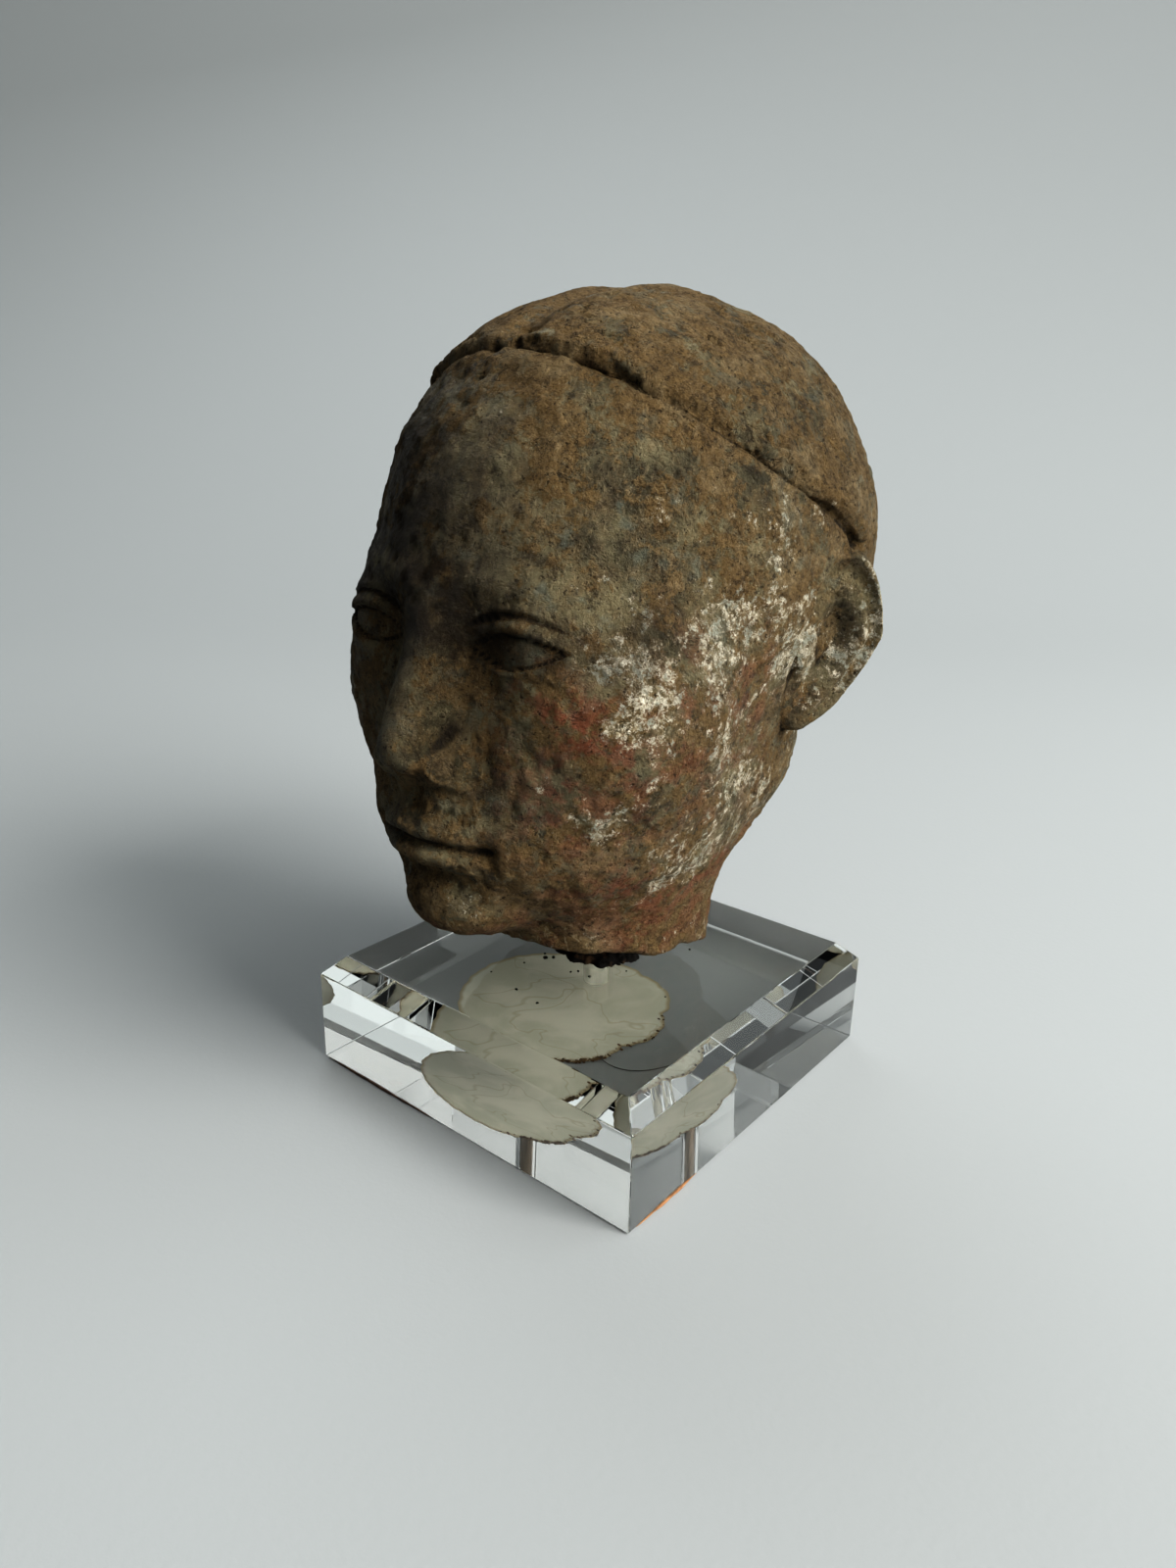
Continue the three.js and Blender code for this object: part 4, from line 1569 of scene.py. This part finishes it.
@dataclass
class UndersideDirtAndEdgeShadow:
    """The cream film, the fibre and the brown grains on the block's underside, an orange deposit along one
    lower edge and a painted shadow line along another.
    """

    middle: tuple[float, float] = (-1.5 * MM, -8.0 * MM)
    radius: float = 20.2 * MM
    thickness: float = 0.09 * MM
    overlap: float = 0.03 * MM
    sides: int = 240
    rings: int = 12
    grain_count: int = 120
    fibre_middle: tuple[float, float] = (17.8 * MM, -8.6 * MM)
    fibre_bend: float = 8.6 * MM
    fibre_wave: float = 0.4 * MM
    fibre_radius: float = 0.07 * MM
    strip_width: float = 0.5 * MM
    strip_height: float = 0.55 * MM
    strip_level: float = 0.1 * MM

    def outline(self, turn: Array) -> Array:
        """Draw the film's outline, scalloped on the side of +X.

        Args:
            turn: Bearings in radians.

        Returns:
            The radius at each bearing, in metres.
        """
        scalloped = bump(np.abs((turn + math.pi - 0.1) % FULL_TURN - math.pi), 0.0, 1.15)
        fingers = np.abs(np.sin(4.2 * turn + 0.9)) ** 0.6 - 0.6
        slow = 0.9 * np.sin(2 * turn + 0.6) + 0.5 * np.sin(3 * turn - 1.0)
        fine = 0.12 * np.sin(23 * turn) + 0.1 * np.sin(41 * turn + 1.0)
        return self.radius + MM * (slow + fine - 1.2 * scalloped + 2.2 * scalloped * fingers)

    def film(self) -> Piece:
        """Lay the dried film, in touch with the underside.

        Returns:
            The film.
        """
        circle = bpy.ops.mesh.primitive_circle_add
        piece = add_shape(circle, "dried_cream_film", vertices=self.sides, radius=1.0, fill_type="NGON")
        with edit_mode(piece):
            for _ in range(self.rings):
                bpy.ops.mesh.inset(thickness=0.9 / self.rings)
        apply_modifier(piece, "SOLIDIFY", thickness=self.thickness, offset=0.0)
        points = read_points(piece)
        turn = np.arctan2(points[:, 1], points[:, 0])
        share = np.minimum(np.hypot(points[:, 0], points[:, 1]), 1.0)
        reach = self.outline(turn) * share
        points[:, 0] = self.middle[0] + reach * np.cos(turn)
        points[:, 1] = self.middle[1] + reach * np.sin(turn)
        points[:, 2] = np.where(points[:, 2] > 0, self.overlap, self.overlap - self.thickness)
        write_points(piece, points)
        carry(piece, "rim", share)
        dirty = bump(turn, math.radians(-42), 0.4) + bump(turn, math.radians(5), 0.3) * 0.5
        carry(piece, "dirt", np.clip(1.3 * dirty * smoothstep(share, 0.93, 0.99), 0, 1))
        dress(piece, StainFinish().make(), Slot.PUTTY)
        return piece

    def edge_dirt(self) -> Piece:
        """Lay brown grains along a stretch of the film's edge.

        Returns:
            The grains, as one piece.
        """
        dice = random.Random(23)
        grains = []
        for _ in range(self.grain_count):
            turn = math.radians(dice.gauss(-41, 9) if dice.random() < 0.75 else dice.uniform(-75, 30))
            reach = float(self.outline(np.array([turn]))[0]) + dice.gauss(-0.25, 0.28) * MM
            across = self.middle[0] + reach * math.cos(turn)
            deep = self.middle[1] + reach * math.sin(turn)
            radius = dice.uniform(0.16, 0.48) * MM
            scale = (1.0, dice.uniform(0.5, 1.0), 0.25)
            grains.append(add_shape(
                bpy.ops.mesh.primitive_ico_sphere_add, "grain", scale, dice.uniform(0, 3.1), subdivisions=1,
                radius=radius, location=(across, deep, 0.02 * MM),
            ))
        piece = joined(grains, "brown_edge_grains")
        finish = PlainFinish("brown_grains", (0.09, 0.05, 0.018, 1), (0.03, 0.017, 0.007, 1), 900.0, 0.8)
        dress(piece, finish.make(), Slot.PUTTY)
        return piece

    def fibre(self) -> Piece:
        """Lay the curved fibre that is caught under the block.

        Returns:
            The fibre.
        """
        curve = bpy.data.curves.new("caught_fibre", "CURVE")
        curve.dimensions = "3D"
        curve.bevel_depth = self.fibre_radius
        curve.use_fill_caps = True
        spline = curve.splines.new("POLY")
        bearings = np.radians(np.linspace(-125, -15, 28))
        spline.points.add(len(bearings) - 1)
        for point, bearing in zip(spline.points, bearings):
            reach = self.fibre_bend + self.fibre_wave * math.sin(3 * bearing)
            across = self.fibre_middle[0] + reach * math.cos(bearing)
            deep = self.fibre_middle[1] + reach * math.sin(bearing)
            point.co = (across, deep, -0.08 * MM, 1.0)
        holder = bpy.data.objects.new("caught_fibre", curve)
        bpy.context.scene.collection.objects.link(holder)
        choose(holder)
        bpy.ops.object.convert(target="MESH")
        piece = added("caught_fibre")
        finish = PlainFinish("dark_fibre", (0.03, 0.025, 0.02, 1), (0.01, 0.01, 0.01, 1), 900.0, 0.6)
        dress(piece, finish.make(), Slot.PUTTY)
        return piece

    def lay_edge_strip(self, name: str, start: Vector, end: Vector, finish: PlainFinish) -> Piece:
        """Lay a thin crooked strip along a lower edge of the block, for the orange deposit and for a painted
        shadow line.

        Args:
            name: The piece's name.
            start: Where the strip begins.
            end: Where the strip ends.
            finish: Its finish.

        Returns:
            The strip.
        """
        along, middle = end - start, np.array((start + end) / 2)
        direction = np.array(along.normalized())
        piece = add_shape(
            bpy.ops.mesh.primitive_cube_add, name, (along.length, self.strip_width, self.strip_height),
            math.atan2(along.y, along.x), size=1.0, location=(start + end) / 2,
        )
        with edit_mode(piece):
            bpy.ops.mesh.subdivide(number_cuts=14)
        points = read_points(piece)
        run = (points - middle) @ direction
        ends = 1 - (run / (along.length / 2)) ** 4
        thin = np.clip(ends, 0.05, 1) * (0.75 + 0.5 * noise_at(points, 260.0, 3, 4.0))
        line = middle + np.outer(run, direction)
        write_points(piece, line + (points - line) * np.clip(thin, 0.1, 1.4)[:, None])
        dress(piece, finish.make(), Slot.PUTTY)
        return piece

    def build(self) -> None:
        """Make the dirt under and along the block, and the painted shadow line along its lower front edge."""
        self.film()
        self.edge_dirt()
        self.fibre()
        low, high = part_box("clear_block")
        orange = PlainFinish("orange_residue", (0.26, 0.13, 0.055, 1), (0.16, 0.075, 0.03, 1))
        # Painted shadow: the dark brown strip along the lower front edge stands for the shadow line where the
        # block meets the paper
        brown = PlainFinish("painted_edge_shadow_finish", (0.12, 0.07, 0.05, 1), (0.04, 0.025, 0.02, 1))
        z = self.strip_level
        right = [Vector((high.x, low.y + run * MM, z)) for run in (2, 19)]
        front = [Vector((low.x + run * MM, low.y, z)) for run in (1, 31)]
        self.lay_edge_strip("orange_edge_residue", *right, orange)
        self.lay_edge_strip("painted_edge_shadow", *front, brown)


@dataclass(frozen=True)
class Lamp:
    """A square soft light that looks at the head.

    Its bearing goes from -Y towards +X and its climb up from the floor, both in degrees. Its distance from
    the head and its width are in metres, and its power in watts.
    """

    name: str
    bearing: float
    climb: float
    distance: float
    width: float
    power: float
    colour: Triple

    def place(self, target: Vector) -> None:
        """Add the light to the scene, where it looks at a target.

        Args:
            target: Where the light looks.
        """
        a, e = math.radians(self.bearing), math.radians(self.climb)
        back = Vector((math.sin(a) * math.cos(e), -math.cos(a) * math.cos(e), math.sin(e)))
        bpy.ops.object.light_add(type="AREA", location=target + back * self.distance)
        lamp = bpy.context.active_object
        lamp.name = self.name
        lamp.rotation_euler = back.to_track_quat("Z", "Y").to_euler()
        lamp.data.size = self.width
        lamp.data.energy = self.power
        lamp.data.color = self.colour
        lamp.visible_transmission = False


@dataclass
class Studio:
    """The paper sweep, the lights and the camera."""

    floor_drop: float = 0.35 * MM
    focal_share: float = 1126.4 / 1600
    camera_place: Triple = (120.72 * MM, -152.38 * MM, 125.6 * MM)
    heading: float = 39.08
    pitch: float = 19.56
    roll: float = 1.21
    sensor: float = 36.0
    paper: Colour = (0.25, 0.261, 0.263, 1)
    paper_length: float = 6.0
    paper_width: float = 8.0
    before_part: float = 2.5
    flat_behind: float = 0.4
    curve_radius: float = 1.1
    head_middle: Triple = (0, 0, 0.08)
    room_side: Triple = (0.81, 0.14, 0.57)
    room_dark: float = 0.028
    room_bright: float = 0.66
    room_colour: Colour = (0.92, 0.99, 0.99, 1)
    lamps: tuple[Lamp, ...] = (
        Lamp("window", 96, 31, 1.5, 0.9, 47.0, (1.0, 0.985, 0.955)),
        Lamp("wide_window", 103, 37, 1.9, 2.4, 16.0, (1.0, 0.985, 0.96)),
        Lamp("far_window", 145, 38, 1.8, 1.1, 4.0, (0.92, 0.98, 1.0)),
        Lamp("back_fill", 240, 50, 1.2, 0.7, 4.2, (0.95, 0.98, 1.0)),
    )

    def camera(self) -> None:
        """Place the camera where the photograph was taken from."""
        bpy.ops.object.camera_add(location=self.camera_place)
        camera = bpy.context.active_object
        turn = Matrix.Rotation(math.radians(self.heading), 4, "Z")
        tilt = Matrix.Rotation(math.radians(90 - self.pitch), 4, "X")
        lean = Matrix.Rotation(math.radians(self.roll), 4, "Z")
        camera.matrix_world = Matrix.Translation(self.camera_place) @ turn @ tilt @ lean
        camera.data.sensor_width = self.sensor
        camera.data.lens = self.sensor * self.focal_share
        camera.data.clip_start = 0.01
        bpy.context.scene.camera = camera

    def sweep(self) -> None:
        """Lay the paper: a floor that curves up far behind the part."""
        deselect_all()
        bpy.ops.mesh.primitive_grid_add(x_subdivisions=12, y_subdivisions=120, size=1.0)
        piece = added("paper_sweep")
        points = read_points(piece)
        along = (points[:, 1] + 0.5) * self.paper_length - self.before_part
        past_flat, quarter = along - self.flat_behind, math.pi / 2
        bend = np.clip(past_flat / self.curve_radius, 0, quarter)
        beyond = np.maximum(past_flat - self.curve_radius * quarter, 0)
        forward = np.minimum(along, self.flat_behind) + self.curve_radius * np.sin(bend)
        height = self.curve_radius * (1 - np.cos(bend)) + beyond
        across = points[:, 0] * self.paper_width
        away = math.radians(self.heading)
        points[:, 0] = -math.sin(away) * forward + math.cos(away) * across
        points[:, 1] = math.cos(away) * forward + math.sin(away) * across
        points[:, 2] = height - self.floor_drop
        write_points(piece, points)
        bpy.ops.object.shade_smooth()
        b = Bench("paper")
        fibres = b.noise(900, 3)
        b.set(Base_Color=self.paper, Roughness=0.85, Normal=b.bump(fibres, 0.03 * MM))
        piece.data.materials.append(b.material)

    def build(self) -> None:
        """Set up the camera, the paper and the lights."""
        self.camera()
        self.sweep()
        self.room()
        scene = bpy.context.scene
        scene.view_settings.view_transform = "Standard"
        scene.view_settings.look = "High Contrast"
        scene.cycles.max_bounces = 24
        scene.cycles.glossy_bounces = 16
        scene.cycles.transmission_bounces = 20
        for lamp in self.lamps:
            lamp.place(Vector(self.head_middle))

    def room(self) -> None:
        """Light the room weakly, from dark on the left to bright on the right."""
        world = bpy.data.worlds.new("room")
        world.use_nodes = True
        nodes, links = world.node_tree.nodes, world.node_tree.links
        ray = nodes.new("ShaderNodeTexCoord").outputs["Generated"]
        dot = nodes.new("ShaderNodeVectorMath")
        dot.operation = "DOT_PRODUCT"
        dot.inputs[1].default_value = self.room_side
        links.new(ray, dot.inputs[0])
        rise = nodes.new("ShaderNodeMapRange")
        rise.interpolation_type = "SMOOTHSTEP"
        for socket, value in zip(rise.inputs[1:5], (0.0, 1.0, self.room_dark, self.room_bright)):
            socket.default_value = value
        links.new(dot.outputs["Value"], rise.inputs[0])
        background = nodes["Background"]
        background.inputs["Color"].default_value = self.room_colour
        links.new(rise.outputs["Result"], background.inputs["Strength"])
        bpy.context.scene.world = world


def main() -> None:
    """Build the part's looks and its studio, and write how big they are."""
    logging.basicConfig(level=logging.INFO, format="%(message)s")
    Studio().build()
    PotteryHead().build()
    block = ClearBlock()
    block.build()
    rod = MountingRod().build()
    block.seal_glue(min(point.co.z for point in rod.data.vertices))
    wad = DarkWad()
    wad.build()
    wad.scatter_crumbs()
    UndersideDirtAndEdgeShadow().build()


if __name__ == "__main__":
    main()
